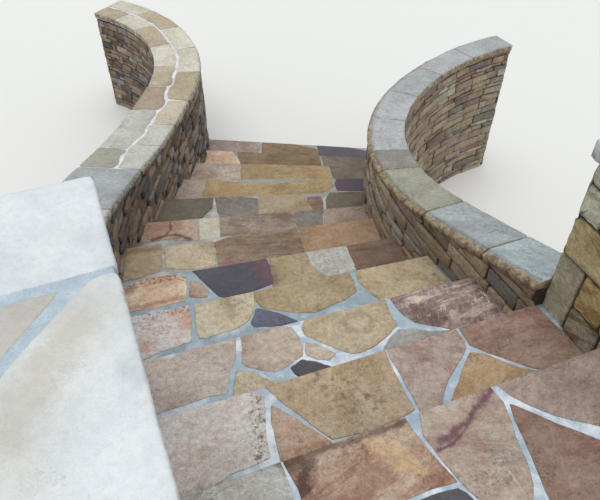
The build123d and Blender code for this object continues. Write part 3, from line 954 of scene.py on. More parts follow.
# %% Marks
PATTERNS = {
    "pits": ((1, 1, 1), (75, 5, 0.75, 0.0), (0.50, 0.57)),
    "dense_pits": ((1, 1, 1), (75, 5, 0.75, 0.0), (0.48, 0.56)),
    "blots": ((1, 1, 1), (34, 6, 0.7, 0.0), (0.50, 0.58)),
    "flecks": ((1, 1, 1), (58, 6, 0.75, 0.0), (0.51, 0.59)),
    "patches": ((1, 1, 1), (8, 5, 0.7, 0.0), (0.40, 0.60)),
    "scales": ((52, 20, 1), (1, 8, 0.78, 0.6), (0.49, 0.62)),
    "drift": ((6, 30, 6), (1, 5, 0.7, 0.4), (0.38, 0.60)),
}
turn = np.linspace(0, 2 * np.pi, 9)
RING = np.stack([358 + 15 * np.cos(turn), 322 + 9 * np.sin(turn)], -1)
MARKS = {
    0: ("veined", [
        ((0.66, 0.48, 0.45), (), [
            (0.45, 0.060, 0.030, [(487, 392), (476, 410), (466, 424), (448, 438), (438, 446)])]),
        ((0.43, 0.29, 0.34), (), [
            (0.88, 0.022, 0.014, [(492, 388), (489, 394), (480, 404), (472, 413), (470, 421),
                                  (459, 427), (451, 436), (440, 440)]),
            (0.88, 0.010, 0.007, [(440, 450), (452, 444), (462, 434), (468, 424)])]),
        ((0.30, 0.19, 0.17), (), [
            (0.80, 0.045, 0.030, [(286, 462), (299, 458), (306, 470), (302, 486)]),
            (0.64, 0.020, 0.018, [(300, 457), (330, 447), (352, 441), (376, 433), (404, 421)])]),
        # A bright golden patch on the rust stone: its own ochre, brightened into a painted golden
        # highlight.
        ((0.88, 0.76, 0.58), (), [
            (0.60, 0.050, 0.040, [(372, 446), (388, 452), (402, 462), (420, 470)])]),
        ((0.82, 0.78, 0.74), (), [(0.70, 0.006, 0.002, [(500, 460), (511, 474), (522, 490)])])]),
    1: ("pitted", [
        ((0.32, 0.26, 0.24), ("pits",), [
            (0.75, 0.050, 0.030, [(256, 402), (260, 424), (264, 446), (262, 458)])]),
        ((0.42, 0.31, 0.22), ("blots",), [
            (0.60, 0.085, 0.050, [(318, 374), (338, 384), (348, 400)]),
            (0.60, 0.060, 0.040, [(356, 396), (378, 404)])]),
        ((0.62, 0.40, 0.28), (), [(0.25, 0.045, 0.030, [(456, 372), (452, 392), (446, 408)])])]),
    2: ("ringed", [
        ((0.44, 0.36, 0.29), (), [(0.32, 0.026, 0.016, RING)]),
        ((0.36, 0.25, 0.27), (), [
            (0.60, 0.070, 0.050, [(398, 303), (415, 312), (440, 321)]),
            (0.60, 0.100, 0.060, [(478, 280), (492, 292), (505, 304)])]),
        ((0.94, 0.87, 0.81), ("scales", "patches"), [
            (0.90, 0.240, 0.030, [(425, 300), (452, 302), (480, 298)])])]),
    3: ("flecked", [
        ((0.66, 0.46, 0.38), ("flecks",), [
            (0.42, 0.170, 0.030, [(142, 337), (156, 330), (174, 326)])]),
        ((0.76, 0.50, 0.36), (), [
            (0.50, 0.055, 0.030, [(136, 354), (146, 347)]),
            (0.50, 0.050, 0.030, [(174, 312), (186, 313), (188, 324)])]),
        ((0.36, 0.28, 0.24), ("pits",), [
            (0.70, 0.040, 0.030, [(146, 315), (170, 310), (186, 309)])]),
        ((0.60, 0.54, 0.40), (), [(0.50, 0.048, 0.012, [(225, 301), (229, 307), (232, 315)])])]),
    4: ("rusty", [
        ((0.36, 0.25, 0.20), ("dense_pits",), [
            (0.80, 0.048, 0.030, [(132, 285), (150, 280.5), (170, 277), (186, 278)])]),
        ((0.54, 0.31, 0.25), (), [
            (0.48, 0.027, 0.022, [(126, 309), (150, 305), (168, 300.5), (184, 298)]),
            (0.48, 0.050, 0.012, [(122, 289), (129, 291)])]),
        ((0.45, 0.30, 0.325), (), [(0.60, 0.090, 0.030, [(261, 264), (267, 272), (270, 280)])]),
        ((0.66, 0.58, 0.37), (), [(0.40, 0.055, 0.020, [(280, 258), (284, 270), (286, 285)])])]),
    5: ("banded", [
        ((0.47, 0.395, 0.285), ("drift",), [
            (0.60, 0.130, 0.030, [(216, 248), (250, 243), (298, 237)])]),
        ((0.58, 0.41, 0.37), (), [(0.45, 0.050, 0.020, [(226, 267), (262, 261)])]),
        ((0.43, 0.34, 0.23), (), [(0.50, 0.036, 0.020, [(126, 253), (146, 249), (161, 248)])])]),
    6: ("arc", [
        ((0.50, 0.34, 0.26), (), [(0.30, 0.070, 0.035, [(172, 222), (174, 230), (176, 236)])]),
        ((0.28, 0.20, 0.17), (), [
            (0.75, 0.022, 0.012, [(153, 240), (160, 237.5), (168, 235), (175, 234.5), (182, 236),
                                  (190, 239.5)]),
            (0.75, 0.010, 0.010, [(170, 222), (171, 229), (167, 234)])])]),
}


def marked(level, marks):
    """A function that paints marks into a colour. The share of a mark's colour is the largest of
    strength * nearness over its lines, times its patterns, each a soft step through noise."""
    def paint(f, colour):
        for tone, patterns, lines in marks:
            share = None
            for strength, width, wander, path in lines:
                near = f.near_path(path, level, width, wander) * strength
                share = near if share is None else share.at_least(near)
            for stretch, noise, limits in (PATTERNS[name] for name in patterns):
                share = share * f.rise(f.noise(f.scaled(f.place, stretch), *noise), *limits)
            colour = f.blend(share, colour, srgb(*tone))
        return colour
    return paint


flag_finish = stone_finish("flagstone")
flag_finishes = {step: stone_finish(f"flagstone_{name}", marks=marked(TREADS[step].level, marks))
                 for step, (name, marks) in MARKS.items()}
print("marks on", len(flag_finishes), "steps:", sum(len(marks) for name, marks in MARKS.values()))

# %% [markdown]
# ## Lay the treads
# Each flag gets 96 points around. Its rings go from the split underside up the rough edge, over a
# worn arris and in to the middle. The bed is one more stack, the size of the tread, whose top lies
# 3 mm lower, so the pointing sits just below the stones as it does on the real steps. Further down
# the flight the flags are grown a little more, as the joints there look narrower.

# %% Flags and beds
FLAG_POINTS, BED_POINTS = 96, 240
FLAG_GAP, FLAG_WANDER, FLAG_RIVEN = 0.003, 0.0022, 0.0022
BED_DROP = 0.0030
FLAG_RIMS = (1, 1, 1, 0.9, 0.7, 0.1, 0, 0)
FLAG_SIDES = (1, 1, 1, 0.6, 0, 0, 0, 0)


def flag_growth(step):
    """4.4 mm, and 1.6 mm more for each step down, up to 6 mm more."""
    return 0.0044 + min(0.0016 * step, 0.0060)


def flag_profile(stones, count, rng):
    """Underside, two rough rings on the split side, the worn arris, then four rings inwards."""
    split = splitter(stones, count, rng)
    depth = TREAD_THICKNESS
    rings = [(0.004 + split(0.006), 1, -depth), (0.001 + split(0.005), 1, -depth * 0.55),
             (split(0.0025), 1, -0.006), (0.0008, 1, -0.0020), (0.0030, 1, -0.0003),
             (0.0030, 0.97, 0.0), (0.0030, 0.62, 0.0), (0.0030, 0.28, 0.0)]
    return rings, FLAG_RIMS, FLAG_SIDES


def plain_profile(rings):
    """Rings without rim or split side, for mortar."""
    return rings, (0,) * len(rings), (0,) * len(rings)


BED_RINGS = [(0.0, 1, -TREAD_THICKNESS + 0.001), (0.0, 1, -BED_DROP - 0.004)]
BED_RINGS += [(0.0, share, -BED_DROP) for share in (0.996, 0.8, 0.5, 0.2)]
BED_MORTARS = ["pale_mortar"] * 3 + ["grey_blue_mortar"] * 2 + ["worn_mortar"] * 7
for tread in TREADS:
    step = tread.step
    rng = np.random.default_rng(100 + step)
    snap = 0.018 + 0.003 * step
    shapes = [tread.press(tread.flat(on_level(c, tread.level)), FLAG_GAP, snap) for k, c in FLAGS[step]]
    shapes += [np.array(c) for k, c in HIDDEN.get(step, [])]
    kinds = [k for k, c in FLAGS[step] + HIDDEN.get(step, [])]
    outlines = grown(np.array([rounded(c, FLAG_POINTS, 0) for c in shapes]), flag_growth(step))
    outlines = tread.press(wandering(outlines, FLAG_WANDER, rng), FLAG_GAP)
    lay_stones(f"{tread.node}_flags", outlines, flag_profile(len(shapes), FLAG_POINTS, rng),
               tread.lay, tints_of(kinds, step), flag_finishes.get(step, flag_finish),
               step, riven=FLAG_RIVEN, stands_for=[tread.node])
    edge = np.concatenate([tread.right, tread.left[::-1]])
    bed = tread.press(rounded(edge, BED_POINTS, 0), 0.0)[None]
    lay_stones(f"{tread.node}_bed", bed, plain_profile(BED_RINGS), tread.lay, tints_of(["grey"], 1),
               mortars[BED_MORTARS[step]], 50, stands_for=[tread.node])

# %% [markdown]
# ## Courses of wall stone
# Walls are laid in courses: rows of flat stones of one height, each row broken into uneven
# lengths. A row could be an array of one stone, but real courses never repeat, so lengths and
# heights are drawn at random from a seeded source. A thin stone has a dozen outline points.

# %% Courses
LEAST_ROW, LEAST_LENGTH = 0.012, 0.03


def courses(length, top, heights, lengths, rng, joint=0.004):
    """Rectangles (u0, u1, v0, v1) from the ground to the top: row after row, stone after stone."""
    found, v = [], 0.0
    while v < top - LEAST_ROW:
        tall = rng.uniform(*heights)
        u = -rng.uniform(0, lengths[1]) * 0.5
        while u < length:
            wide = rng.uniform(*lengths) * (0.7 + 0.3 * tall / heights[1])
            u0, u1 = max(u, 0.0), min(u + wide, length)
            if u1 - u0 > LEAST_LENGTH:
                found.append((u0 + joint / 2, u1 - joint / 2, v + joint / 2, v + tall - joint / 2))
            u += wide
        v += tall
    return np.array(found)


BRICK = [(-1, -0.72), (-0.95, -1), (-0.3, -1), (0.35, -1), (0.95, -1), (1, -0.72),
         (1, 0.72), (0.95, 1), (0.3, 1), (-0.35, 1), (-0.95, 1), (-1, 0.72)]


def brick_outlines(rects, rng, count=len(BRICK), rough=0.0028):
    """A rectangle with cut corners, stretched to each stone's size: middle + half size * unit
    outline, then every point jittered."""
    unit = np.array(BRICK, float) if count == len(BRICK) else rounded(BRICK, count, 0)
    u0, u1, v0, v1 = (rects[:, i, None] for i in range(4))
    shape = np.stack([(u0 + u1) / 2 + (u1 - u0) / 2 * unit[:, 0],
                      (v0 + v1) / 2 + (v1 - v0) / 2 * unit[:, 1]], -1)
    return shape + rng.uniform(-rough, rough, shape.shape)


def brick_profile(stones, proud, rng):
    """Back in the wall, a shoulder, then a smaller face ring that stands proud by a random depth."""
    depth = rng.uniform(*proud, (stones, 1))
    rings = [(0.0, 1, -0.004), (0.0, 1, depth * 0.72), (0.003, 1, depth), (0.003, 0.5, depth * 1.08)]
    return rings, (1, 1, 0.5, 0), (1, 0.6, 0, 0)


def pick(kinds, count, rng):
    """As many kinds as asked, each drawn from the list at random."""
    return [kinds[i] for i in rng.integers(0, len(kinds), count)]


def darkened(tints, by):
    """The same tints, darker by a share; on the planter walls this is painted shade."""
    return tuple(np.concatenate([t[:, :3] * by, t[:, 3:]], -1) for t in tints)


def always(value):
    """A function of the distance that gives the same value everywhere."""
    return lambda s: np.full(np.shape(s), value)


def cut_to_top(rects, top_of):
    """Rectangles whose upper edge is held under a top; the flat remnants are dropped."""
    limit = np.maximum(top_of(rects[:, 0]), top_of(rects[:, 1])) - 0.004
    rects = rects.copy()
    rects[:, 3] = np.minimum(rects[:, 3], limit)
    return rects[rects[:, 3] - rects[:, 2] > 0.014]


def straight_face(start, along, outward):
    """lay(u, v, w) on an upright plane: start + along * u + outward * w, with height v."""
    def lay(u, v, w):
        plan = start + u[..., None] * along + w[..., None] * outward
        return np.concatenate([plan, v[..., None]], -1)
    return lay


print("a course stone has", 4 * 2 * len(BRICK), "triangles")

# %% [markdown]
# ## Ledge stone on the planter walls
# Both faces of each planter wall and its lower end are thin ledge stone. The stones are laid on
# the wall's own distance and height, so the courses stay level while the wall bends. A stone that
# would lie under a tread is left out, and the top row is cut to the coping that falls away. The
# left wall has smaller and more varied stones than the right one, which is golden brown.

# %% Planter walls
def curved_face(wall, outward):
    """lay(u, v, w) on the near face (outward -1) or the far face (outward 1) of a planter wall."""
    thick = WALLS[wall]["thick"]

    def lay(u, v, w):
        plan = station(wall, u, w + thick if outward > 0 else -w)
        return np.concatenate([plan, v[..., None]], -1)
    return lay


def held_under(outlines, top_of):
    """Outline points held 3 mm under a sloping top."""
    tall = np.minimum(outlines[..., 1], top_of(outlines[..., 0]) - 0.003)
    return np.stack([outlines[..., 0], tall], -1)


def above_steps(rects, wall):
    """Rectangles whose upper edge is over the lower of the steps at their two ends."""
    levels = [step_level(station(wall, rects[:, end], -0.05)) for end in (0, 1)]
    return rects[rects[:, 3] > np.minimum(*levels) + 0.01]


def unit(vector):
    """The same direction with a length of one."""
    return vector / np.linalg.norm(vector)


WALL_JOINT, END_LENGTHS, END_DULL = 0.006, (0.08, 0.24), 0.62
INNER_PROUD, OUTER_PROUD = (0.002, 0.023), (0.003, 0.015)
LEDGE_KINDS = ["brown", "rose", "mauve", "moss", "tan", "rose", "brown", "grey", "slate", "tan",
               "orange", "ochre_brown"]
WARM_KINDS = ["tan", "moss", "olive", "tan", "gold_brown", "dun", "mauve", "dun", "tan", "boulder",
              "rose"]
# The dull share of each planter wall is painted shade on its faces: the left face stands in deeper shade
# than the right.
LEDGES = {
    "left": dict(heights=(0.030, 0.070), lengths=(0.06, 0.25), seed=7,
                 kinds=LEDGE_KINDS, spread=0.26, dull=0.70),
    "right": dict(heights=(0.032, 0.080), lengths=(0.09, 0.34), seed=8,
                  kinds=WARM_KINDS, spread=0.17, dull=0.83),
}
ledge_finish = stone_finish(CRISP_FINISH, fine=1.2, relief=0.9, stain_share=0.5, contrast=1.35)
for wall, ledge in LEDGES.items():
    rng = np.random.default_rng(ledge["seed"])
    length, thick, heights = wall_length(wall), WALLS[wall]["thick"], ledge["heights"]
    under = lambda s, w=wall: coping_top(w, s) - COPING
    for side_name, outward, proud in (("inner", -1, INNER_PROUD), ("outer", 1, OUTER_PROUD)):
        rects = courses(length, WALLS[wall]["high"], heights, ledge["lengths"], rng, WALL_JOINT)
        rects = cut_to_top(rects, under)
        if outward < 0:
            rects = above_steps(rects, wall)
        kinds = pick(ledge["kinds"], len(rects), rng)
        outlines = held_under(brick_outlines(rects, rng, rough=0.0038), under)
        lay_stones(f"{wall}_wall_{side_name}_ledges", outlines, brick_profile(len(rects), proud, rng),
                   curved_face(wall, outward),
                   darkened(tints_of(kinds, 31, ledge["spread"]), ledge["dull"]),
                   ledge_finish, 60 + outward)
    ends = station(wall, np.full(2, length), np.array([0.0, thick]))
    ahead = station(wall, length, 0.0) - station(wall, length - 0.01, 0.0)
    rects = courses(thick, float(under(length)), heights, END_LENGTHS, rng, WALL_JOINT)
    rects = cut_to_top(rects, always(under(length)))
    tints = darkened(tints_of(pick(LEDGE_KINDS, len(rects), rng), 32, 0.2), END_DULL)
    lay_stones(f"{wall}_wall_end_ledges", brick_outlines(rects, rng),
               brick_profile(len(rects), OUTER_PROUD, rng),
               straight_face(ends[0], unit(ends[1] - ends[0]), unit(ahead)),
               tints, ledge_finish, 63)

# %% [markdown]
# ## Risers and the back of the landing
# Under each nosing stands a course of facing stones, about 95 mm high. They are a little proud of the
# concrete block, well behind the overhanging flags. The back of the landing is faced with the
# same stone in several courses.

# %% Risers
riser_finish = stone_finish("riser_stone", fine=1.1, relief=0.8)
RISER_KINDS = ["brown", "tan", "mauve", "beige", "olive", "rose", "grey"]
RISER_SHOWS = 0.097
for tread in TREADS:
    rng = np.random.default_rng(200 + tread.step)
    left, right = tread.left[0, 0], tread.right[0, 0]
    rects = courses(left - right, RISER_SHOWS, (0.094, 0.096), (0.18, 0.42), rng)
    rects[:, 2:] += tread.level - RISE + 0.002
    outlines, profile = brick_outlines(rects, rng), brick_profile(len(rects), (0.004, 0.012), rng)
    kinds = pick(RISER_KINDS, len(rects), rng)
    lay_stones(f"riser_{STEPS - tread.step:02d}_stones", outlines, profile,
               straight_face(tread.corner((right, NOSING_OVERHANG)),
                             leftward(tread.heading), downhill(tread.heading)),
               darkened(tints_of(kinds, 40 + tread.step, 0.15), 0.85),
               riser_finish, 70 + tread.step)

landing = TREADS[0]
rng = np.random.default_rng(9)
wide = landing.left[-1, 0] - landing.right[-1, 0]
under_slab = LANDING_HEIGHT - TREAD_THICKNESS
rects = courses(wide, under_slab - 0.003, (0.05, 0.11), (0.15, 0.45), rng)
rects = cut_to_top(rects, always(under_slab - 0.001))
outlines, profile = brick_outlines(rects, rng), brick_profile(len(rects), (0.003, 0.012), rng)
kinds = pick(LEDGE_KINDS, len(rects), rng)
lay_stones("landing_back_stones", outlines, profile,
           straight_face(landing.corner(landing.left[-1]),
                         -leftward(landing.heading), -downhill(landing.heading)),
           darkened(tints_of(kinds, 33, 0.2), 0.7), riser_finish, 90)

# %% [markdown]
# ## Golden sandstone on the cheek walls
# The cheek walls are built of larger squared blocks of golden sandstone with dark, recessed
# joints. Each upright face of the solid gets its own courses, from the corners of its plan. At
# the corner where the right cheek wall meets the planter wall stands one tall pale block.

# %% Cheek walls
gold_finish = stone_finish("golden_sandstone", relief=1.8, stain_share=0.3,
                           edge=((0.36, 0.30, 0.22), 0.7, (0.28, 0.23, 0.17)))
TALL_WIDE, TALL_LOW, TALL_HIGH, TALL_JOINT = 0.120, 1.60, 1.905, 0.007
CREAM_DOWN_TO, GOLD_DOWN_TO = 0.30, 0.62


def plan_corners(node):
    """Corners of a solid's top face, anticlockwise round their middle, each one once."""
    points = node_points(node)
    top = points[points[:, 2] > points[:, 2].max() - 1e-4][:, :2]
    top = np.unique(top.round(4), axis=0)
    away = top - top.mean(0)
    return top[np.argsort(np.arctan2(away[:, 1], away[:, 0]))]


def block_profile(stones, proud, rng):
    """Back in the wall, a broken shoulder, then three rings of a rough split face."""
    depth = rng.uniform(*proud, (stones, 1))
    rings = [(0.0, 1, -0.008), (0.0, 1, depth * 0.5), (0.004, 1, depth * 0.85),
             (0.006, 0.94, depth), (0.006, 0.70, depth), (0.006, 0.36, depth)]
    return rings, (1, 1, 0.8, 0.3, 0, 0), (1, 0.7, 0.1, 0, 0, 0)


def with_tall_block(rects):
    """The blocks beside the corner cut back, and one tall block put in, up to the nearest row."""
    tall = rects[np.argmin(abs(rects[:, 3] - TALL_HIGH)), 3]
    beside = (rects[:, 3] > TALL_LOW + 0.02) & (rects[:, 2] < tall - 0.02)
    rects[beside, 0] = np.maximum(rects[beside, 0], TALL_WIDE + TALL_JOINT)
    wide_enough = rects[:, 1] - rects[:, 0] > LEAST_LENGTH
    return np.vstack([rects[wide_enough], [0.0, TALL_WIDE, TALL_LOW, tall]])


for cheek, first_seed in (("left", 300), ("right", 400)):
    corners = plan_corners(f"{cheek}_cheek_wall")
    top = node_points(f"{cheek}_cheek_wall")[:, 2].max()
    for n, (a, b) in enumerate(zip(corners, np.roll(corners, -1, 0))):
        rng = np.random.default_rng(first_seed + n)
        along = unit(b - a)
        rects = courses(np.linalg.norm(b - a), top, (0.12, 0.22), (0.30, 0.62), rng, TALL_JOINT)
        rects = cut_to_top(rects, always(top))
        if cheek == "right" and np.linalg.norm(a - WALLS["right"]["corner"]) < 0.05:
            rects = with_tall_block(rects)
        depth_down = top - rects[:, 2:].mean(1) + rng.uniform(-0.25, 0.25, len(rects))
        kinds = np.select([depth_down < CREAM_DOWN_TO, depth_down < GOLD_DOWN_TO],
                          ["cream", "gold"], "gold_brown")
        # The tall corner block takes the lightened boulder kind: painted light making up for the shade at
        # the corner.
        at_corner = (rects[:, 1] < TALL_WIDE + 0.0005) & (rects[:, 0] == 0)
        kinds = np.where(at_corner, "boulder", kinds)
        lay_stones(f"{cheek}_cheek_face_{n + 1}", brick_outlines(rects, rng, 32, 0.0022),
                   block_profile(len(rects), (0.006, 0.016), rng),
                   straight_face(a, along, np.array([along[1], -along[0]])),
                   tints_of(list(kinds), 34, 0.08), gold_finish, 95 + n,
                   riven=0.006, wave=0.22)

# %% [markdown]
# ## Copings
# The left coping is two flags wide, in two rows whose joints don't meet, with one flag across
# both. The right one is a single row of blue-grey slabs with an ochre split edge. Both are laid on
# the wall's distance and offset, and their height comes from the coping's own curve, so the slabs
# follow the fall and the bend.

# %% Coping stones
def coping_lay(wall, broken=0.0):
    """lay(u, v, w): distance u, offset v, height of the coping at u plus w. The inner arris is
    broken off: towards the top no point is nearer that edge than a rough share of the broken
    width, v = max(v, edge + broken * share * rise). The share is 0.76 plus three sine waves."""
    def lay(u, v, w):
        share = 0.76 + 0.12 * np.sin(u * 13 + 3 * np.sin(u * 4.1))
        share = share + 0.07 * np.sin(u * 37 + 4 * np.sin(u * 9)) + 0.04 * np.sin(u * 91)
        v = np.maximum(v, -COPING_OVERHANG + broken * share * np.clip((w + 0.024) / 0.022, 0, 1))
        return np.concatenate([station(wall, u, v), (coping_top(wall, u) + w)[..., None]], -1)
    return lay


def coping_profile(stones, count, rng):
    """Split side with a rough lower edge, a worn arris, then rings inwards."""
    split = splitter(stones, count, rng, 1.6, 4)
    rings = [(0.006 + split(0.006), 1, -COPING), (0.001 + split(0.005), 1, -COPING * 0.6),
             (split(0.003), 1, -0.022), (0.002 + split(0.001), 1, -0.010), (0.0035, 1, -0.0015),
             (0.0035, 0.97, 0.0), (0.0035, 0.62, 0.0), (0.0035, 0.30, 0.0)]
    return rings, FLAG_RIMS, (1, 1, 1, 0.9, 0.15, 0, 0, 0)


def slab(u0, u1, low, high, skew=0.0):
    """A four-cornered slab with enough points along its length to follow the bend. Its edges
    are functions of the distance along the wall."""
    t = np.linspace(0, 1, 9)
    near, far = u0 + (u1 - u0) * t, u1 + skew + (u0 - u1) * t
    return np.concatenate([np.stack([near, low(near)], -1), np.stack([far, high(far)], -1)])


def coping_edges(wall):
    """The offsets of a coping's inner and outer edge."""
    return -COPING_OVERHANG, WALLS[wall]["thick"] + COPING_OVERHANG


def lay_coping(wall, stones, shapes, kinds, finish, rng, count, wander, broken, riven, seeds):
    """The coping stones of one wall, their outlines wandering but held on the wall's length and
    the coping's width. The two seeds are those of the tints and of the grain."""
    inner, outer = coping_edges(wall)
    outlines = wandering(np.array([rounded(c, count, 1) for c in shapes]), wander, rng)
    outlines = np.clip(outlines, [0, inner], [wall_length(wall), outer])
    lay_stones(f"{wall}_coping_{stones}", outlines, coping_profile(len(shapes), count, rng),
               coping_lay(wall, broken), tints_of(kinds, seeds[0], 0.03), finish,
               seeds[1], riven=riven,
               stands_for=[f"{wall}_coping_{n}" for n in (1, 2, 3)])


WHOLE_FLAG = (1.12, 1.745)
LEFT_GAP, RIGHT_GAP = 0.0036, 0.001
DIVIDER = np.array([
    (0, .17), (.6, .15), (1.12, .17), (1.74, .140), (1.85, .140), (1.97, .170), (2.04, .160),
    (2.08, .190), (2.14, .165), (2.23, .160), (2.34, .140), (2.47, .170), (2.52, .150),
    (2.76, .165), (2.80, .145), (2.94, .14), (3.0, .18), (3.19, .20), (3.23, .17), (3.41, .19),
    (3.8, .16), (4.2, .18), (4.7, .16), (5.5, .17)])


def divider(side):
    """One edge of the white joint between the two rows of the left coping: a crooked line, and
    9 mm plus a wave of 4 mm to either side of it."""
    return lambda s: (np.interp(s, DIVIDER[:, 0], DIVIDER[:, 1])
                      + side * (0.009 + 0.004 * np.sin(s * 23 + 2 * np.sin(s * 7))))


inner_edge, outer_edge = (always(v) for v in coping_edges("left"))
# The pale buff flags towards the far end are pale stone made lighter still: partly painted sunlight on that
# part of the coping.
LEFT_ROWS = [
    (inner_edge, outer_edge, WHOLE_FLAG, ["blue"]),
    (inner_edge, divider(-1),
     [0.0, 0.58, 1.12, 1.745, 2.150, 2.515, 2.950, 3.470, 3.95, 4.45, 4.95, 5.412],
     ["blue", "pale_olive", None, "pale_olive", "pale_olive", "light_buff", "buff", "pale_buff",
      "pale_buff", "buff", "pale_buff"]),
    (divider(1), outer_edge,
     [0.0, 0.42, 1.12, 1.745, 2.060, 2.765, 3.190, 3.60, 4.10, 4.62, 5.05, 5.412],
     ["grey", "pale_olive", None, "dull_olive", "pale_olive", "dun", "buff", "pale_buff", "buff",
      "pale_buff", "buff"]),
]
rng = np.random.default_rng(11)
shapes, kinds = [], []
for low, high, joints, row_kinds in LEFT_ROWS:
    for a, b, kind in zip(joints[:-1], joints[1:], row_kinds):
        if kind:
            skew = 0.0 if b == WHOLE_FLAG[1] else rng.uniform(-0.015, 0.015)
            shapes.append(slab(a + LEFT_GAP, b - LEFT_GAP, low, high, skew))
            kinds.append(kind)
left_finish = stone_finish("coping_flags", stain_share=0.15,
                           edge=((0.69, 0.66, 0.58), 0.9, (0.42, 0.38, 0.32)))
lay_coping("left", "flags", shapes, kinds, left_finish, rng,
           count=72, wander=0.003, broken=0.016, riven=0.0018, seeds=(12, 101))

RIGHT_JOINTS = [0.0, 0.305, 0.735, 1.270, 1.545, 2.06, 2.55, 3.05, 3.52, wall_length("right")]
# The third and fourth slabs are darker kinds: painted shade of the plants beside that part of the coping.
RIGHT_KINDS = ["sky_slab", "grey_slab", "dull_olive", "blue_in_painted_shade", "pale_blue", "pale_blue",
               "blue", "pale_blue", "blue"]
inner_edge, outer_edge = (always(v) for v in coping_edges("right"))
shapes = [slab(a + RIGHT_GAP, b - RIGHT_GAP, inner_edge, outer_edge)
          for a, b in zip(RIGHT_JOINTS[:-1], RIGHT_JOINTS[1:])]
right_finish = stone_finish("coping_slabs", stains=(0.47, 0.42, 0.33), stain_share=0.5,
                            edge=((0.74, 0.66, 0.52), 0.92, (0.50, 0.39, 0.26)), relief=1.2)
lay_coping("right", "slabs", shapes, RIGHT_KINDS, right_finish, rng,
           count=96, wander=0.004, broken=0.038, riven=0.002, seeds=(13, 102))

# %% [markdown]
# ## The mortar under the copings
# Between the coping stones lies white pointing. One closed bar of mortar, a little smaller than
# the stones and about 6 mm lower, runs the whole length and shows only in the joints.

# %% Coping beds
BED_STEPS = 120
AROUND = 2 * BED_STEPS
BED_END = 0.006
for wall, mortar in (("left", "white_mortar"), ("right", "grey_mortar")):
    length = wall_length(wall)
    inner, outer = coping_edges(wall)
    low, high = inner + 0.045, outer - 0.010
    run = (length - 2 * BED_END) * np.linspace(0, 1, BED_STEPS)
    edge = np.concatenate([np.stack([BED_END + run, np.full(BED_STEPS, low)], -1),
                           np.stack([length - BED_END - run, np.full(BED_STEPS, high)], -1)])
    middle = (low + high) / 2
    rings = []
    for share, height in ((1.0, -COPING + 0.002), (1.0, -0.006), (0.5, -0.0055), (0.02, -0.0055)):
        offset = middle + (edge[:, 1] - middle) * share
        rings.append(np.stack([edge[:, 0], offset, np.full(AROUND, height)], -1))
    flat = np.concatenate(rings)[None]
    quads, _ = ring_faces(len(rings), AROUND)
    i = np.arange(BED_STEPS - 1)
    strip = np.stack([i, i + 1, AROUND - 2 - i, AROUND - 1 - i], -1)
    quads = np.concatenate([quads, strip[:, ::-1], strip + (len(rings) - 1) * AROUND])
    if WALLS[wall]["side"] < 0:
        quads = quads[:, ::-1]
    points = coping_lay(wall)(flat[..., 0], flat[..., 1], flat[..., 2])
    make_piece(f"{wall}_coping_bed", points, quads, np.zeros((0, 3), int), {}, mortars[mortar])
    print(wall, "coping bed", len(quads) * 2, "triangles")

# %% [markdown]
# ## Caps of the cheek walls
# The caps are thick slabs of near-white limestone with a soft, worn edge, and flush blue-grey
# pointing between them. The front joint of the left cap forks round a small pinkish stone, so its
# stones are drawn in the cheek wall's own coordinates: uphill from its corner, and outwards. A
# warm streak lies beside the fork.

# %% Caps
CAP_LEVEL = float(node_points("left_cap_1")[:, 2].max())
CAP_POINTS, CAP_DEPTH, CAP_RIVEN = 96, 0.065, 0.0012
CAP_MARKS = [
    ((0.76, 0.73, 0.65), (), [(0.38, 0.170, 0.040, [(86, 312), (54, 352), (26, 400), (4, 460)])]),
    ((0.64, 0.57, 0.45), (), [(0.24, 0.075, 0.025, [(80, 322), (46, 364), (20, 412), (8, 440)])]),
]
limestone_finish = stone_finish("limestone", rough=(0.5, 0.8), relief=0.25, contrast=0.25,
                                stains=(0.74, 0.75, 0.75), stain_share=0.3,
                                edge=((0.78, 0.79, 0.79), 0.5, (0.70, 0.70, 0.68)),
                                marks=marked(CAP_LEVEL, CAP_MARKS))


def cap_profile(rng):
    """A straight lower edge, a soft upper one, then rings inwards."""
    split = splitter(1, CAP_POINTS, rng)
    rings = [(0.003 + split(0.003), 1, -CAP_DEPTH), (split(0.003), 1, -CAP_DEPTH * 0.5),
             (split(0.001), 1, -0.012), (0.0025, 1, -0.005), (0.006, 1, -0.0008),
             (0.005, 0.96, 0.0), (0.003, 0.62, 0.0), (0.0, 0.30, 0.0)]
    return rings, FLAG_RIMS, FLAG_SIDES


def cap_lay(wall):
    """lay(u, v, w): u uphill along the cheek wall's near face, v outwards, w over the caps."""
    w = WALLS[wall]
    down, left = downhill(np.radians(w["cheek"])), leftward(np.radians(w["cheek"]))

    def lay(u, v, h):
        plan = np.array(w["corner"]) - u[..., None] * down + (v * w["side"])[..., None] * left
        return np.concatenate([plan, (CAP_LEVEL + h)[..., None]], -1)
    return lay


def cap_flat(wall, node):
    """Corners of a cap solid in its cheek wall's coordinates, in order round it."""
    w = WALLS[wall]
    away = plan_corners(node) - np.array(w["corner"])
    heading = np.radians(w["cheek"])
    return np.stack([-(away @ downhill(heading)), (away @ leftward(heading)) * w["side"]], -1)


def lay_cap(wall, name, outline, kind, seeds, solid, rng):
    """One cap stone, which stands for a solid. The seeds are those of the tint and the grain."""
    lay_stones(f"{name}_stone", outline, cap_profile(rng), cap_lay(wall),
               tints_of([kind], seeds[0], 0.02), limestone_finish, seeds[1],
               riven=CAP_RIVEN, stands_for=[solid])


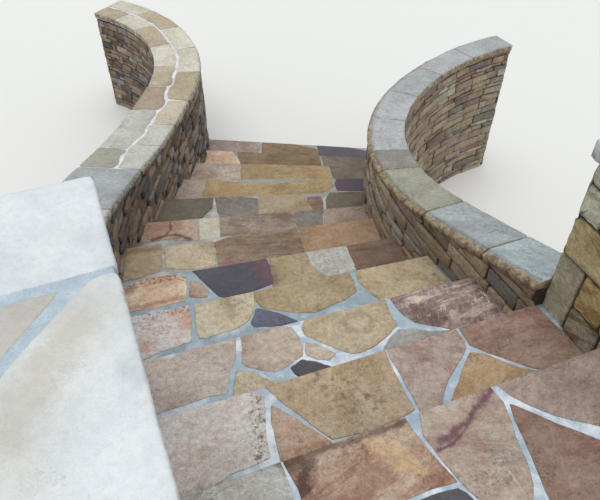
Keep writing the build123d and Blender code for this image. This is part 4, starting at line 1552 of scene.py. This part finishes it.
near, far, end = -0.030, 0.530, 1.150
LEFT_CAPS = {
    "left_cap_1": ("left_cap_1", "limestone",
                   [(near, near), (0.362, near), (0.364, 0.30), (0.360, far), (near, far)]),
    "left_cap_small": ("left_cap_2", "pink_limestone",
                       [(0.389, 0.100), (0.392, far), (0.88, far), (0.408, 0.108)]),
    "left_cap_2": ("left_cap_2", "limestone",
                   [(0.374, near), (end, near), (end, far), (0.93, far), (0.66, 0.30),
                    (0.546, 0.205), (0.374, 0.035)]),
}
rng = np.random.default_rng(501)
for name, (solid, kind, corners) in LEFT_CAPS.items():
    outline = wandering(rounded(corners, CAP_POINTS, 1)[None], 0.0015, rng)
    lay_cap("left", name, np.clip(outline, [near, near], [end, far]), kind, (3, 111), solid, rng)
for node in ("left_cap_3", "right_cap_1", "right_cap_2"):
    wall, number = node.split("_")[0], int(node[-1])
    outline = rounded(cap_flat(wall, node), CAP_POINTS, 1)[None]
    lay_cap(wall, node, outline, "limestone", (1 + number, 112 + number), node,
            np.random.default_rng(510 + number))

POINTING_RINGS = [(0.0, 1, -CAP_DEPTH + 0.002), (0.0, 1, -0.006)]
POINTING_RINGS += [(0.003, share, -0.003) for share in (1, 0.6, 0.2)]
for nodes in (("left_cap_1", "left_cap_3"), ("right_cap_1", "right_cap_2")):
    wall = nodes[0].split("_")[0]
    low, high = (cap_flat(wall, n) for n in nodes)
    ends = np.concatenate([low[low[:, 0] < low[:, 0].mean()], high[high[:, 0] > high[:, 0].mean()]])
    order = np.argsort(np.arctan2(ends[:, 1] - 0.25, ends[:, 0] - ends[:, 0].mean()))
    outline = grown(rounded(ends[order], CAP_POINTS, 0)[None], -0.010)
    lay_stones(f"{wall}_cap_pointing", outline, plain_profile(POINTING_RINGS), cap_lay(wall),
               tints_of(["grey"], 1), mortars["cap_pointing"], 120, stands_for=nodes)

# %% [markdown]
# ## Materials for the solids that stay
# The concrete blocks under the treads and the cores of the walls still show in the joints, so
# they get rough concrete and dark earthy mortar.

# %% Solids that stay
for name, node in frame["nodes"].items():
    if not node.hide_render:
        node.data.materials.clear()
        node.data.materials.append(mortars["rough_concrete" if "block" in name else "earthy_mortar"])
print("solids that show:", sorted(n for n, o in frame["nodes"].items() if not o.hide_render))

# %% [markdown]
# ## Sizes and the end
# Both boxes, of the solids and of the dressed steps, are printed. The dressed steps
# have to keep the solids' size.

# %% Sizes
dressed_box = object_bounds()
sizes = {"cad": [list(c) for c in solid_box], "visual": [list(c) for c in dressed_box]}
for name, box in sizes.items():
    print(name, [[round(v, 3) for v in c] for c in box])
